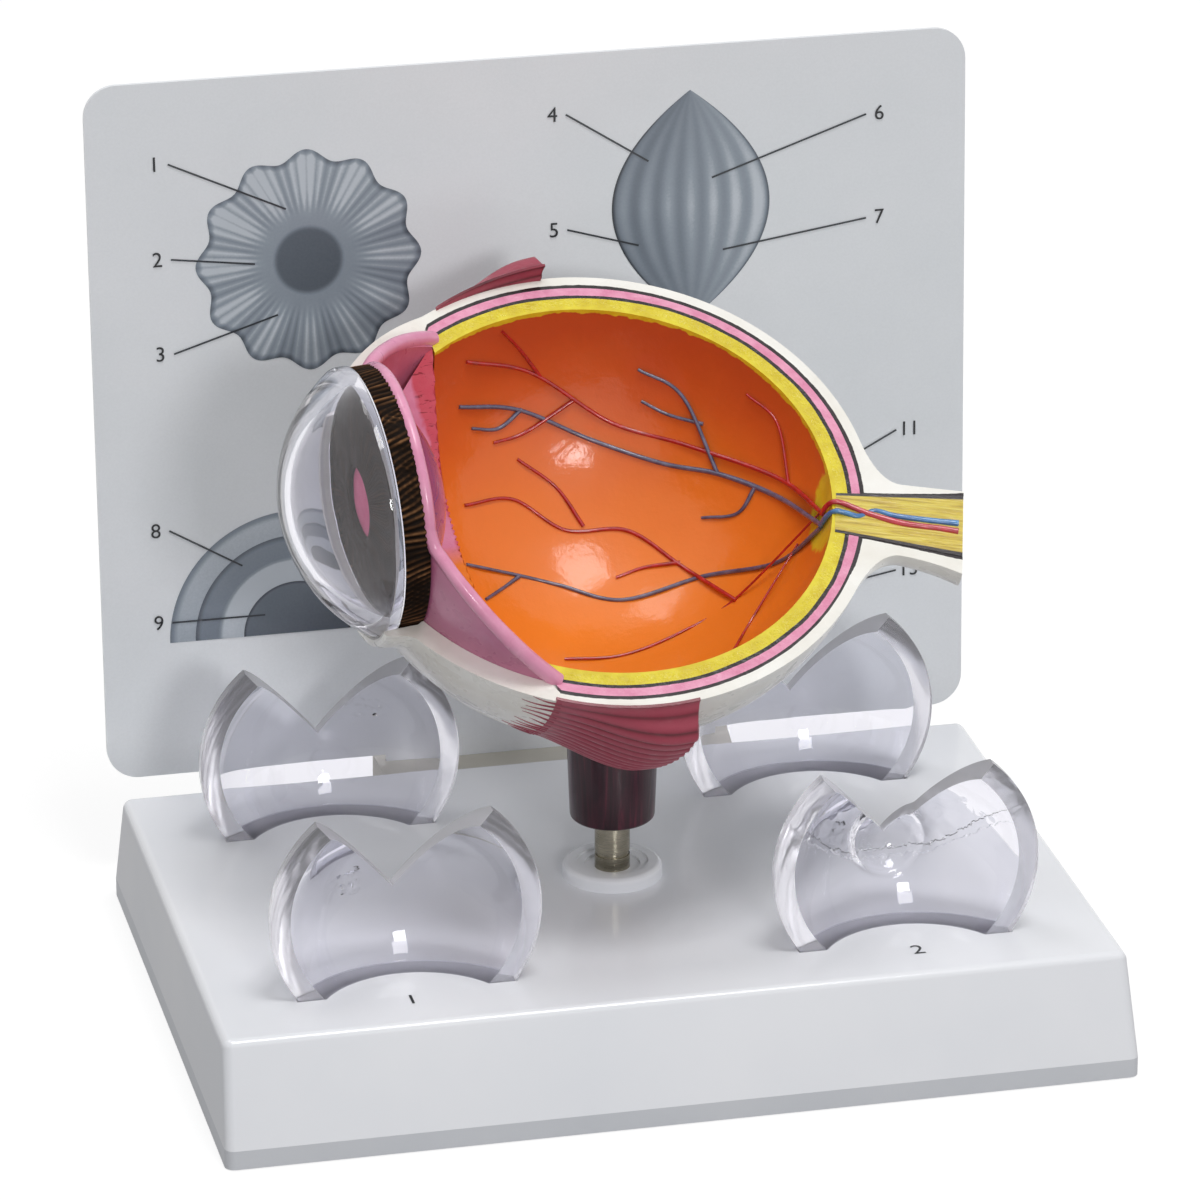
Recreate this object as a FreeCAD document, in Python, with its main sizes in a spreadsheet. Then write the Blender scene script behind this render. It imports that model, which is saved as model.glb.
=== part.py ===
import FreeCAD, Part
import math
import os
import Sketcher

# Eye anatomy model on a display stand, in millimetres.
# World frame: +X to the right, +Y to the back, +Z up; origin at the centre of the base's underside.
# Eye frame (origin at the eyeball's centre): +X along the optical axis to the optic nerve, +Z square to the
# plane that cuts the eyeball open, +Y away across the cut. The cornea looks along -X.
# Cornea frame: the rim's plane at X = 0, the dome rising along +X.

doc = FreeCAD.newDocument("EyeModel")

# ---------------------------------------------------------------------------------------------------- sizes

SIZES = [
    # stand
    ("base_width_bottom", 163.2), ("base_depth_bottom", 118.8),
    ("base_width_taper", 0.95), ("base_depth_taper", 6.1),
    ("base_height", 21.5), ("base_wall", 2.5),
    ("base_edge_radius", 1.8),
    ("plate_height", 3.5),
    # rod and its fittings
    ("rod_diameter", 6.35), ("rod_top", 46.0), ("rod_foot", 8.5), ("running_gap", 0.05),
    ("rod_chamfer", 0.5), ("rod_groove_height", 25.6), ("rod_groove_width", 0.8), ("rod_groove_depth", 0.25),
    ("collar_diameter", 18.0), ("collar_height", 2.6), ("collar_edge_radius", 1.1),
    ("collar_neck_diameter", 12.0), ("collar_neck_length", 7.0),
    ("collar_step_diameter", 13.0), ("collar_step_depth", 0.5),
    ("collar_dish_diameter", 10.1), ("collar_dish_depth", 0.5),
    ("clip_diameter", 10.0), ("clip_height", 1.4),
    # card and holder
    ("card_width", 165.1), ("card_length", 133.35), ("card_gauge", 1.0), ("card_corner_radius", 6.0),
    ("card_x", 1.2), ("card_y", 65.4), ("card_bottom", 20.1), ("card_lean", 2.6),
    ("tongue_width", 56.0), ("tongue_length", 10.0),
    ("holder_width", 63.0), ("holder_x", 2.5), ("holder_front", 50.0), ("holder_back", 69.5),
    ("holder_bottom", 4.5), ("holder_top", 18.6), ("slot_gap", 0.1),
    # clear corneas
    ("dome_radius", 28.4), ("dome_centre", -13.1), ("dome_inner_radius", 22.7), ("dome_inner_centre", -10.0),
    ("rim_height", 2.2), ("piece_axis_height", 35.8), ("notch_angle", 80.0), ("socket_depth", 6.0),
    ("socket_gap", 0.3), ("socket_wall", 2.0),
    ("margin_left", 34.85), ("margin_right", 36.85), ("margin_front", 13.0), ("margin_back", 23.8),
    ("bulge_radius", 9.0), ("bulge_rise", 3.2), ("bulge_wall", 2.4),
    # eyeball
    ("eye_x", -1.1), ("eye_z", 100.8), ("eye_yaw", 4.9), ("eye_pitch", -2.8), ("eye_roll", 30.3),
    ("eye_radius", 49.35), ("cut_drop", 7.0), ("limbus_distance", 43.8),
    ("choroid_radius", 46.8), ("retina_radius", 44.5), ("lining_radius", 42.5), ("cavity_radius", 41.8),
    ("layers_front", 20.5), ("front_wall_radius", 45.6), ("front_wall_gauge", 1.8), ("front_wall_tilt", 45.0),
    ("lip_gauge", 1.5), ("lip_length", 2.8),
    ("iris_radius", 23.7), ("iris_back", 39.3), ("iris_wall", 1.8), ("iris_plate", 1.6), ("iris_rise", 1.7),
    ("pupil_radius", 6.4), ("iris_edge_drop", 1.2),
    ("lens_radius", 16.7), ("lens_middle", 37.1), ("lens_back_radius", 25.5), ("lens_back_rise", 6.5),
    ("lens_front_radius", 36.5), ("lens_front_rise", 4.2),
    ("ring_back_radius", 38.5), ("ring_front_radius", 22.0), ("ring_front", 37.6),
    ("ring_hollow_radius", 37.0), ("ring_hollow_depth", 5.0), ("ring_near_drop", 14.0),
    # optic nerve
    ("nerve_turn", -19.5), ("nerve_reach", 64.6), ("sheath_radius", 9.2),
    ("flare_start", 46.0), ("flare_end", 53.0), ("flare_radius", 13.0),
    ("core_start_radius", 4.2), ("core_end_radius", 6.9), ("core_start", 41.8),
    ("nerve_cord_radius", 0.6),
    # vessels of the cavity
    ("artery_radius", 0.6), ("vein_radius", 0.65), ("branch_ratio", 0.8), ("vessel_sink", 0.12),
    # muscles
    ("muscle_gauge", 5.4), ("muscle_front", 21.5), ("muscle_blunt", 3.6), ("muscle_far_turn", 34.0),
    ("muscle_near_turn", 42.0), ("muscle_root", 3.0),
    # stem
    ("stem_bottom", 33.0), ("stem_bottom_radius", 7.65), ("stem_top_radius", 8.35), ("stem_top", 58.0),
]

sheet = doc.addObject("Spreadsheet::Sheet", "sizes")
for row, (alias, value) in enumerate(SIZES, start=1):
    sheet.set("A%d" % row, alias.replace("_", " "))
    sheet.set("B%d" % row, str(value))
    sheet.setAlias("B%d" % row, alias)
doc.recompute()

SPAN = 300.0  # edge of the blocks that stand for half spaces, larger than the whole model
HALF = SPAN / 2
REACH = 120.0  # length of cutters that only have to pass through
BITE = 2.0  # how far joined forms run into each other


def size(alias):
    """A size as a number, read from the sheet."""
    return sheet.get(alias)


# ---------------------------------------------------------------------------------------- expression helpers

EYE = ("create(<<placement>>; create(<<vector>>; sizes.eye_x; 0; sizes.eye_z);"
       " create(<<rotation>>; sizes.eye_yaw; sizes.eye_pitch; sizes.eye_roll))")
TURN_X = "create(<<rotation>>; create(<<vector>>; 1; 0; 0); %s)"
TURN_Y = "create(<<rotation>>; create(<<vector>>; 0; 1; 0); %s)"
TURN_Z = "create(<<rotation>>; create(<<vector>>; 0; 0; 1); %s)"


def spot(x="0", y="0", z="0", turn=None):
    """Placement expression: a point and, if given, a rotation expression."""
    turn = turn or "create(<<rotation>>; 0; 0; 0)"
    return "create(<<placement>>; create(<<vector>>; %s; %s; %s); %s)" % (x, y, z, turn)


def primitive(kind, name, place=None, **sizes):
    """A Part primitive whose sizes and place are expressions."""
    body = doc.addObject("Part::" + kind, name)
    for size, text in sizes.items():
        body.setExpression(size, str(text))
    if place:
        body.setExpression("Placement", place)
    return body


def cut(name, base, tool, place=None):
    return boolean("Cut", name, base, tool, place)


def common(name, base, tool, place=None):
    return boolean("Common", name, base, tool, place)


def boolean(kind, name, base, tool, place=None):
    result = doc.addObject("Part::" + kind, name)
    result.Base = base
    result.Tool = tool
    if place:
        result.setExpression("Placement", place)
    return result


def fuse(name, shapes, place=None):
    result = doc.addObject("Part::MultiFuse", name)
    result.Shapes = shapes
    if place:
        result.setExpression("Placement", place)
    return result


def half_space(name, x="0", y="0", z="0", turn=None):
    """Everything under a plane through a point; the plane faces +Z before it is turned about the point."""
    turn = turn or "create(<<rotation>>; 0; 0; 0)"
    corner = "create(<<vector>>; %s - %g; %s - %g; %s - %g)" % (x, HALF, y, HALF, z, SPAN)
    point = "create(<<vector>>; %g; %g; %g)" % (HALF, HALF, SPAN)
    place = "create(<<placement>>; %s; %s; %s)" % (corner, turn, point)
    return primitive("Box", name, place, Length=SPAN, Width=SPAN, Height=SPAN)


def along_x(name, kind, start, **sizes):
    """A cylinder or cone whose axis runs along +X from start."""
    return primitive(kind, name, spot(x=start, turn=TURN_Y % "90"), **sizes)


NODES = []


def node(body, name):
    """Marks a body as a finished piece, written to its own file."""
    body.Label = name
    NODES.append(body)
    return body


# ------------------------------------------------------------------------------------------- sketch helpers

def origin_plane(body, role):
    return next(f for f in body.Origin.OriginFeatures if f.Role == role)


def sketch_on(body, name, role, height=None):
    sketch = body.newObject("Sketcher::SketchObject", name)
    sketch.AttachmentSupport = [(origin_plane(body, role), "")]
    sketch.MapMode = "FlatFace"
    if height:
        sketch.setExpression("AttachmentOffset.Base.z", height)
    return sketch


def bind(sketch, constraint, text):
    """Adds a constraint whose value is an expression."""
    number = sketch.addConstraint(constraint)
    sketch.setExpression("Constraints[%d]" % number, text)


def rectangle(sketch, width, depth, middle_y="0"):
    """A rectangle given by the expressions of its two sides; its middle lies on the sketch's Y axis."""
    corners = [(-10, -10), (10, -10), (10, 10), (-10, 10)]
    vectors = [FreeCAD.Vector(x, y, 0) for x, y in corners]
    for i in range(4):
        sketch.addGeometry(Part.LineSegment(vectors[i], vectors[(i + 1) % 4]), False)
    for i in range(4):
        sketch.addConstraint(Sketcher.Constraint("Coincident", i, 2, (i + 1) % 4, 1))
    for i in (0, 2):
        sketch.addConstraint(Sketcher.Constraint("Horizontal", i))
        sketch.addConstraint(Sketcher.Constraint("Vertical", i + 1))
    for i, sign in ((0, "-"), (2, "+")):
        for kind, middle, side, start in (("DistanceX", "0", width, corners[i][0]),
                                          ("DistanceY", middle_y, depth, corners[i][1])):
            bind(sketch, Sketcher.Constraint(kind, -1, 1, i, 1, start), "%s %s (%s) / 2" % (middle, sign, side))


def circle(sketch, radius):
    sketch.addGeometry(Part.Circle(FreeCAD.Vector(0, 0, 0), FreeCAD.Vector(0, 0, 1), 5), False)
    sketch.addConstraint(Sketcher.Constraint("Coincident", 0, 3, -1, 1))
    bind(sketch, Sketcher.Constraint("Radius", 0, 5), radius)


def edges_where(feature, test):
    """Names of the edges whose middle point passes the test."""
    doc.recompute()
    names = []
    for i, edge in enumerate(feature.Shape.Edges, start=1):
        middle = edge.valueAt((edge.FirstParameter + edge.LastParameter) / 2)
        if test(edge, middle):
            names.append("Edge%d" % i)
    return names


def rounded(body, name, feature, radius, test):
    names = edges_where(feature, test)
    fillet = body.newObject("PartDesign::Fillet", name)
    fillet.Base = (feature, names)
    fillet.setExpression("Radius", radius)
    doc.recompute()
    return fillet


def upright(edge, middle):
    ends = [v.Point for v in edge.Vertexes]
    return len(ends) == 2 and abs(ends[0].z - ends[1].z) > 1.0


# ------------------------------------------------------------------------------------ the clear cornea shape

RIM_RADIUS = "sqrt(sizes.dome_radius ^ 2 - (sizes.rim_height - sizes.dome_centre) ^ 2)"
APEX = "(sizes.dome_centre + sizes.dome_radius)"
LEVEL = "(sizes.base_height - sizes.piece_axis_height)"  # the base's top, seen from the axis of a loose piece
FOOT = "(" + LEVEL + " - sizes.socket_depth)"


def cornea_outside(name):
    """A ball cut off by the rim's plane and by the short cylinder of the rim."""
    ball = primitive("Sphere", name + "_ball", spot(x="sizes.dome_centre"), Radius="sizes.dome_radius")
    rim = along_x(name + "_rim", "Cylinder", "0", Radius=RIM_RADIUS, Height=REACH)
    return common(name + "_outside", ball, rim)


def cornea_inside(name):
    return primitive("Sphere", name + "_inside", spot(x="sizes.dome_inner_centre"),
                     Radius="sizes.dome_inner_radius")


plain_outside = cornea_outside("plain")
plain_inside = cornea_inside("plain")
plain_shell = cut("plain_shell", plain_outside, plain_inside)

# the bulging cornea has a smaller ball pushed through its middle, hollowed by a smaller one
BULGE = APEX + " + sizes.bulge_rise - sizes.bulge_radius"
bulge_outer = primitive("Sphere", "bulge_outer", spot(x=BULGE), Radius="sizes.bulge_radius")
bulge_inner = primitive("Sphere", "bulge_inner", spot(x=BULGE), Radius="sizes.bulge_radius - sizes.bulge_wall")
bulged_outside = fuse("bulged_outside", [plain_outside, bulge_outer])
bulged_inside = fuse("bulged_inside", [plain_inside, bulge_inner])
bulged_shell = cut("bulged_shell", bulged_outside, bulged_inside)


def arc_tongue(name, bottom, height, grow="0", place=None):
    """The dome's section at the base's top, drawn out upright so that a loose piece lifts straight out."""
    outer = primitive("Cylinder", name + "_outer", spot("sizes.dome_centre", "0", bottom), Height=height,
                      Radius="sqrt(sizes.dome_radius ^ 2 - %s ^ 2) + %s" % (LEVEL, grow))
    inner = primitive("Cylinder", name + "_inner", spot("sizes.dome_inner_centre", "0", bottom), Height=height,
                      Radius="sqrt(sizes.dome_inner_radius ^ 2 - %s ^ 2) - %s" % (LEVEL, grow))
    half_width = "(sqrt((%s) ^ 2 - %s ^ 2) + %s)" % (RIM_RADIUS, LEVEL, grow)
    ends = primitive("Box", name + "_ends", spot("-" + grow, "-" + half_width, bottom),
                     Length=REACH, Width="2 * " + half_width, Height=height)
    return common(name, cut(name + "_arc", outer, inner), ends, place)


# each loose piece has an upright foot and a notch, open at the top, whose point lies on the dome's axis
under_base_top = half_space("under_base_top", z=LEVEL)
tongue = arc_tongue("tongue", FOOT, "sizes.socket_depth")
notch = primitive("Cylinder", "notch",
                  spot(x="-%g" % BITE, turn=TURN_X % "180 - sizes.notch_angle / 2" + " * " + TURN_Y % "90"),
                  Radius=REACH, Height=REACH, Angle="sizes.notch_angle")
plain_standing = fuse("plain_standing", [cut("plain_above", plain_shell, under_base_top), tongue])
bulged_standing = fuse("bulged_standing", [cut("bulged_above", bulged_shell, under_base_top), tongue])

# sockets under the base's top: an upright slot a little larger than the foot, and a tray round it
SOCKET_OUTSIDE = "(sizes.socket_gap + sizes.socket_wall)"
SLOT_HEIGHT = "sizes.socket_depth + %g" % BITE
TRAY_BOTTOM = FOOT + " - sizes.socket_wall"
TRAY_HEIGHT = "sizes.socket_depth + sizes.socket_wall - sizes.base_wall / 2"

# each piece stands at its own distance from the edges of the base's top
HALF_WIDTH = "sizes.base_width_bottom / 2 - sizes.base_width_taper"
HALF_DEPTH = "sizes.base_depth_bottom / 2 - sizes.base_depth_taper"
LEFT = "sizes.margin_left - (%s)" % HALF_WIDTH
RIGHT = HALF_WIDTH + " - sizes.margin_right"
FRONT = "sizes.margin_front - (%s)" % HALF_DEPTH
BACK = HALF_DEPTH + " - sizes.margin_back"
PLACES = {"front_left": (LEFT, FRONT), "front_right": (RIGHT, FRONT), "back_left": (LEFT, BACK),
          "back_right": (RIGHT, BACK)}
slots = []
trays = []
for where, (x, y) in PLACES.items():
    stand = spot(x, y, "sizes.piece_axis_height", TURN_Z % "90")
    standing = bulged_standing if where == "front_right" else plain_standing
    node(cut("cornea_" + where, standing, notch, stand), "cornea_" + where)
    slots.append(arc_tongue("slot_" + where, FOOT, SLOT_HEIGHT, "sizes.socket_gap", stand))
    trays.append(arc_tongue("tray_" + where, TRAY_BOTTOM, TRAY_HEIGHT, SOCKET_OUTSIDE, stand))

# ---------------------------------------------------------------------------------------------------- stand


def tapered_form(name, bottom, top, inset="0"):
    """A body that tapers from the base's lower rectangle to its upper one; bottom and top are heights."""
    body = doc.addObject("PartDesign::Body", name)
    wedge = body.newObject("PartDesign::AdditiveWedge", name + "_wedge")
    for side, axis in (("width", "X"), ("depth", "Z")):
        low = "sizes.base_%s_bottom / 2 - %s" % (side, inset)
        high = "%s - sizes.base_%s_taper" % (low, side)
        for prefix, half in (("", low), ("2", high)):
            wedge.setExpression(axis + prefix + "min", "-(%s)" % half)
            wedge.setExpression(axis + prefix + "max", half)
    wedge.setExpression("Ymin", bottom)
    wedge.setExpression("Ymax", top)
    wedge.setExpression("Placement", spot(turn=TURN_X % "90"))
    doc.recompute()
    return body, wedge


base, base_wedge = tapered_form("base_form", "sizes.plate_height", "sizes.base_height")
rounded(base, "base_rounding", base_wedge, "sizes.base_edge_radius",
        lambda edge, middle: middle.z > size("plate_height") + 0.01)
hollow, hollow_wedge = tapered_form("hollow_form", "sizes.plate_height", "sizes.base_height - sizes.base_wall",
                                   "sizes.base_wall")
base_skin = cut("base_skin", base, hollow)
neck_hole = primitive("Cylinder", "neck_hole", Radius="sizes.collar_neck_diameter / 2", Height=REACH)
base_with_trays = fuse("base_with_trays", [base_skin] + trays)
base_openings = fuse("base_openings", slots + [neck_hole])
node(cut("base_shell", base_with_trays, base_openings), "base_shell")

plate = doc.addObject("PartDesign::Body", "base_plate")
plate_outline = sketch_on(plate, "plate_outline", "XY_Plane")
rectangle(plate_outline, "sizes.base_width_bottom", "sizes.base_depth_bottom")
plate_pad = plate.newObject("PartDesign::Pad", "plate_pad")
plate_pad.Profile = plate_outline
plate_pad.setExpression("Length", "sizes.plate_height")
rounded(plate, "plate_corners", plate_pad, "sizes.base_edge_radius", upright)
node(plate, "base_plate")

# the collar: a flange with two shallow steps in its top, and a neck through the base
COLLAR_TOP = "sizes.base_height + sizes.collar_height"
flange = doc.addObject("PartDesign::Body", "flange_form")
flange_outline = sketch_on(flange, "flange_outline", "XY_Plane", "sizes.base_height")
circle(flange_outline, "sizes.collar_diameter / 2")
flange_pad = flange.newObject("PartDesign::Pad", "flange_pad")
flange_pad.Profile = flange_outline
flange_pad.setExpression("Length", "sizes.collar_height")
rounded(flange, "flange_rounding", flange_pad, "sizes.collar_edge_radius",
        lambda edge, middle: edge.Length > 20 and middle.z > size("base_height") + 1)
neck = primitive("Cylinder", "neck", spot(z="sizes.base_height - sizes.collar_neck_length"),
                 Radius="sizes.collar_neck_diameter / 2", Height="sizes.collar_neck_length")
collar_step = primitive("Cylinder", "collar_step", spot(z=COLLAR_TOP + " - sizes.collar_step_depth"),
                        Radius="sizes.collar_step_diameter / 2", Height=REACH)
collar_dish = primitive("Cylinder", "collar_dish",
                        spot(z=COLLAR_TOP + " - sizes.collar_step_depth - sizes.collar_dish_depth"),
                        Radius="sizes.collar_dish_diameter / 2", Height=REACH)
collar_bore = primitive("Cylinder", "collar_bore", Radius="sizes.rod_diameter / 2 + sizes.running_gap", Height=REACH)
collar_full = fuse("collar_full", [flange, neck])
collar_holes = fuse("collar_holes", [collar_step, collar_dish, collar_bore])
node(cut("rod_collar", collar_full, collar_holes), "rod_collar")

# the rod, with chamfered ends and a fine groove above the collar
rod = doc.addObject("PartDesign::Body", "rod_form")
rod_section = sketch_on(rod, "rod_section", "XY_Plane", "sizes.rod_foot")
circle(rod_section, "sizes.rod_diameter / 2")
rod_pad = rod.newObject("PartDesign::Pad", "rod_pad")
rod_pad.Profile = rod_section
rod_pad.setExpression("Length", "sizes.rod_top - sizes.rod_foot")
rod_rims = edges_where(rod_pad, lambda edge, middle: len(edge.Vertexes) == 1)
rod_ends = rod.newObject("PartDesign::Chamfer", "rod_ends")
rod_ends.Base = (rod_pad, rod_rims)
rod_ends.setExpression("Size", "sizes.rod_chamfer")
groove_outer = primitive("Cylinder", "groove_outer", spot(z="sizes.rod_groove_height"),
                         Radius="sizes.rod_diameter", Height="sizes.rod_groove_width")
groove_inner = primitive("Cylinder", "groove_inner", spot(z="sizes.rod_groove_height"),
                         Radius="sizes.rod_diameter / 2 - sizes.rod_groove_depth", Height="sizes.rod_groove_width")
node(cut("support_rod", rod, cut("groove_ring", groove_outer, groove_inner)), "support_rod")

CLIP_BOTTOM = "sizes.base_height - sizes.collar_neck_length - sizes.running_gap - sizes.clip_height"
clip_outer = primitive("Cylinder", "clip_outer", spot(z=CLIP_BOTTOM),
                       Radius="sizes.clip_diameter / 2", Height="sizes.clip_height")
clip_hole = primitive("Cylinder", "clip_hole", Radius="sizes.rod_diameter / 2", Height=REACH)
node(cut("rod_clip", clip_outer, clip_hole), "rod_clip")

# the card leans back about its lower front edge; a tongue below it stands in the holder's slot
LEAN = spot("sizes.card_x", "sizes.card_y", "sizes.card_bottom", TURN_X % "-sizes.card_lean")
card = doc.addObject("PartDesign::Body", "card_form")
card_face = sketch_on(card, "card_face", "XZ_Plane")
rectangle(card_face, "sizes.card_width", "sizes.card_length", middle_y="sizes.card_length / 2")
card_pad = card.newObject("PartDesign::Pad", "card_pad")
card_pad.Profile = card_face
card_pad.setExpression("Length", "sizes.card_gauge")
card_pad.Reversed = True
rounded(card, "card_corners", card_pad, "sizes.card_corner_radius",
        lambda edge, middle: abs(edge.Length - size("card_gauge")) < 0.01)


def tongue_block(name, gap, rise):
    """The tongue below the card, or its slot when a gap is given; it reaches rise above the card's foot."""
    return primitive("Box", name,
                     spot("-sizes.tongue_width / 2 - " + gap, "-(%s)" % gap, "-sizes.tongue_length"),
                     Length="sizes.tongue_width + 2 * " + gap, Width="sizes.card_gauge + 2 * " + gap,
                     Height="sizes.tongue_length + %g" % rise)


node(fuse("key_card", [card, tongue_block("tongue", "0", BITE)], LEAN), "key_card")
holder_slot = tongue_block("holder_slot", "sizes.slot_gap", REACH)
holder_slot.setExpression("Placement", LEAN + " * " + spot(
    "-sizes.tongue_width / 2 - sizes.slot_gap", "-sizes.slot_gap", "-sizes.tongue_length"))
holder_block = primitive("Box", "holder_block",
                         spot("sizes.holder_x - sizes.holder_width / 2", "sizes.holder_front", "sizes.holder_bottom"),
                         Length="sizes.holder_width", Width="sizes.holder_back - sizes.holder_front",
                         Height="sizes.holder_top - sizes.holder_bottom")
node(cut("card_holder", holder_block, fuse("holder_clearance", [base, hollow, holder_slot])), "card_holder")

# -------------------------------------------------------------------------------------------------- eyeball

CUT = "-sizes.cut_drop"
NERVE_TURN = TURN_Z % "sizes.nerve_turn" + " * " + TURN_Y % "90"

under_cut = half_space("under_cut", z=CUT)
behind_front = primitive("Box", "behind_front", spot("-sizes.layers_front", -HALF, CUT + " - %g" % SPAN),
                         Length=REACH, Width=SPAN, Height=SPAN)


def ball(name, radius):
    return primitive("Sphere", name, Radius=radius)


def on_nerve(kind, name, start, **sizes):
    """A primitive along the nerve's axis, which runs in the cut's plane; start is measured from the eye's middle."""
    text = ("create(<<placement>>; create(<<vector>>; 0; 0; %s); %s)"
            " * create(<<placement>>; create(<<vector>>; 0; 0; %s); create(<<rotation>>; 0; 0; 0))"
            % (CUT, NERVE_TURN, start))
    return primitive(kind, name, text, **sizes)


nerve_core_form = on_nerve("Cone", "nerve_core_form", "sizes.core_start - %g" % BITE,
                           Radius1="sizes.core_start_radius", Radius2="sizes.core_end_radius",
                           Height="sizes.nerve_reach - sizes.core_start + %g" % BITE)
choroid_ball = ball("choroid_ball", "sizes.choroid_radius")
retina_ball = ball("retina_ball", "sizes.retina_radius")
lining_ball = ball("lining_ball", "sizes.lining_radius")
cavity_ball = ball("cavity_ball", "sizes.cavity_radius")
wall_ball = ball("wall_ball", "sizes.front_wall_radius")
wall_hollow = ball("wall_hollow", "sizes.front_wall_radius - sizes.front_wall_gauge")

# white shell: ball, nerve sleeve and the lip round the cornea's rim, hollowed for the layers and the iris
sclera_ball = ball("sclera_ball", "sizes.eye_radius")
sheath = on_nerve("Cylinder", "sheath", "sizes.flare_start - %g" % BITE, Radius="sizes.sheath_radius",
                  Height="sizes.nerve_reach - sizes.flare_start + %g" % BITE)
flare = on_nerve("Cone", "flare", "sizes.flare_start", Radius1="sizes.flare_radius", Radius2="sizes.sheath_radius",
                 Height="sizes.flare_end - sizes.flare_start")
LIP_FRONT = "-sizes.limbus_distance - sizes.lip_length"
lip = along_x("lip", "Cylinder", LIP_FRONT, Radius=RIM_RADIUS + " + sizes.lip_gauge",
              Height="sizes.lip_length + sizes.limbus_distance - sizes.iris_back")
sclera_solid = fuse("sclera_solid", [sclera_ball, sheath, flare, lip])
# on the far side, in front of the layers, the shell rises above the cut up to a plane tilted forward
under_rise = half_space("under_rise", "-sizes.layers_front", "0", CUT, TURN_Y % "sizes.front_wall_tilt")
far_front = primitive("Box", "far_front", spot(-HALF, "0", -HALF), Length="%g - sizes.layers_front" % HALF,
                      Width=HALF, Height=SPAN)
sclera_kept = fuse("sclera_kept", [under_cut, common("far_rise", under_rise, far_front)])
sclera_lower = common("sclera_lower", sclera_solid, sclera_kept)
layers_room = common("layers_room", choroid_ball, behind_front)
cornea_seat = along_x("cornea_seat", "Cylinder", -REACH, Radius=RIM_RADIUS,
                      Height="%g - sizes.limbus_distance" % REACH)
iris_seat = along_x("iris_seat", "Cylinder", -REACH, Radius="sizes.iris_radius",
                    Height="%g - sizes.iris_back" % REACH)
sclera_room = fuse("sclera_room", [layers_room, wall_ball, cornea_seat, iris_seat, nerve_core_form])
node(cut("sclera", sclera_lower, sclera_room, EYE), "sclera")

# three layers behind the front wall, each a thick skin of a smaller ball, pierced by the nerve
for name, outer, inner in (("choroid", choroid_ball, retina_ball), ("retina", retina_ball, lining_ball),
                           ("cavity_lining", lining_ball, cavity_ball)):
    layer = common(name + "_solid", outer, behind_front)
    hole = fuse(name + "_hole", [inner, nerve_core_form])
    node(cut(name, layer, hole, EYE), name)

# pink wall from the layers to the iris; its edge rises toward the cornea, above the cut
wall_skin = cut("wall_skin", wall_ball, wall_hollow)
wall_region = primitive("Box", "wall_region", spot("-sizes.iris_back", -HALF, -HALF),
                        Length="sizes.iris_back - sizes.layers_front", Width=SPAN, Height=SPAN)
wall_band = common("wall_band", wall_skin, wall_region)
node(common("front_wall", wall_band, under_rise, EYE), "front_wall")

# ciliary ring between the layers' front ends and the lens; its cut dips toward the near side
ring_cone = along_x("ring_cone", "Cone", "-sizes.ring_front", Radius1="sizes.ring_front_radius",
                    Radius2="sizes.ring_back_radius", Height="sizes.ring_front - sizes.layers_front")
ring_hollow = along_x("ring_hollow", "Cone", "-sizes.layers_front - sizes.ring_hollow_depth",
                      Radius1="sizes.lens_radius + 1", Radius2="sizes.ring_hollow_radius",
                      Height="sizes.ring_hollow_depth")
ring_bore = along_x("ring_bore", "Cylinder", -REACH, Radius="sizes.lens_radius", Height=REACH)
ring_round = cut("ring_round", ring_cone, fuse("ring_opening", [ring_hollow, ring_bore]))
under_ring_cut = half_space("under_ring_cut", "0", "sizes.ring_back_radius", CUT, TURN_X % "sizes.ring_near_drop")
node(common("ciliary_ring", ring_round, under_ring_cut, EYE), "ciliary_ring")

# iris: a short ring with a cone-shaped plate that rises to the pupil
iris_ring = along_x("iris_ring", "Cylinder", "-sizes.limbus_distance", Radius="sizes.iris_radius",
                    Height="sizes.limbus_distance - sizes.iris_back")
iris_bore = along_x("iris_bore", "Cylinder", -REACH, Radius="sizes.iris_radius - sizes.iris_wall", Height=REACH)
PLATE_EDGE = "sizes.limbus_distance - sizes.iris_edge_drop"
plate_cone = along_x("plate_cone", "Cone", "-(%s) - sizes.iris_rise" % PLATE_EDGE, Radius1="sizes.pupil_radius",
                     Radius2="sizes.iris_radius", Height="sizes.iris_rise")
plate_under = along_x("plate_under", "Cylinder", "-(%s)" % PLATE_EDGE, Radius="sizes.iris_radius",
                      Height="sizes.iris_plate")
plate_hollow = along_x("plate_hollow", "Cone", "-(%s) - sizes.iris_rise + sizes.iris_plate" % PLATE_EDGE,
                       Radius1="sizes.pupil_radius", Radius2="sizes.iris_radius", Height="sizes.iris_rise")
pupil = along_x("pupil", "Cylinder", -REACH, Radius="sizes.pupil_radius", Height=REACH)
iris_plate = cut("iris_plate", fuse("plate_full", [plate_cone, plate_under]),
                 fuse("plate_rooms", [plate_hollow, pupil]))
iris_edge = cut("iris_edge", iris_ring, iris_bore)
node(fuse("iris", [iris_edge, iris_plate], EYE), "iris")

# lens: two balls that meet at its edge, trimmed by a cylinder
lens_back = primitive("Sphere", "lens_back",
                      spot(x="-sizes.lens_middle + sizes.lens_back_rise - sizes.lens_back_radius"),
                      Radius="sizes.lens_back_radius")
lens_front = primitive("Sphere", "lens_front",
                       spot(x="-sizes.lens_middle - sizes.lens_front_rise + sizes.lens_front_radius"),
                       Radius="sizes.lens_front_radius")
lens_barrel = along_x("lens_barrel", "Cylinder", -REACH, Radius="sizes.lens_radius", Height=REACH)
node(common("lens", common("lens_form", lens_back, lens_front), lens_barrel, EYE), "lens")

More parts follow.
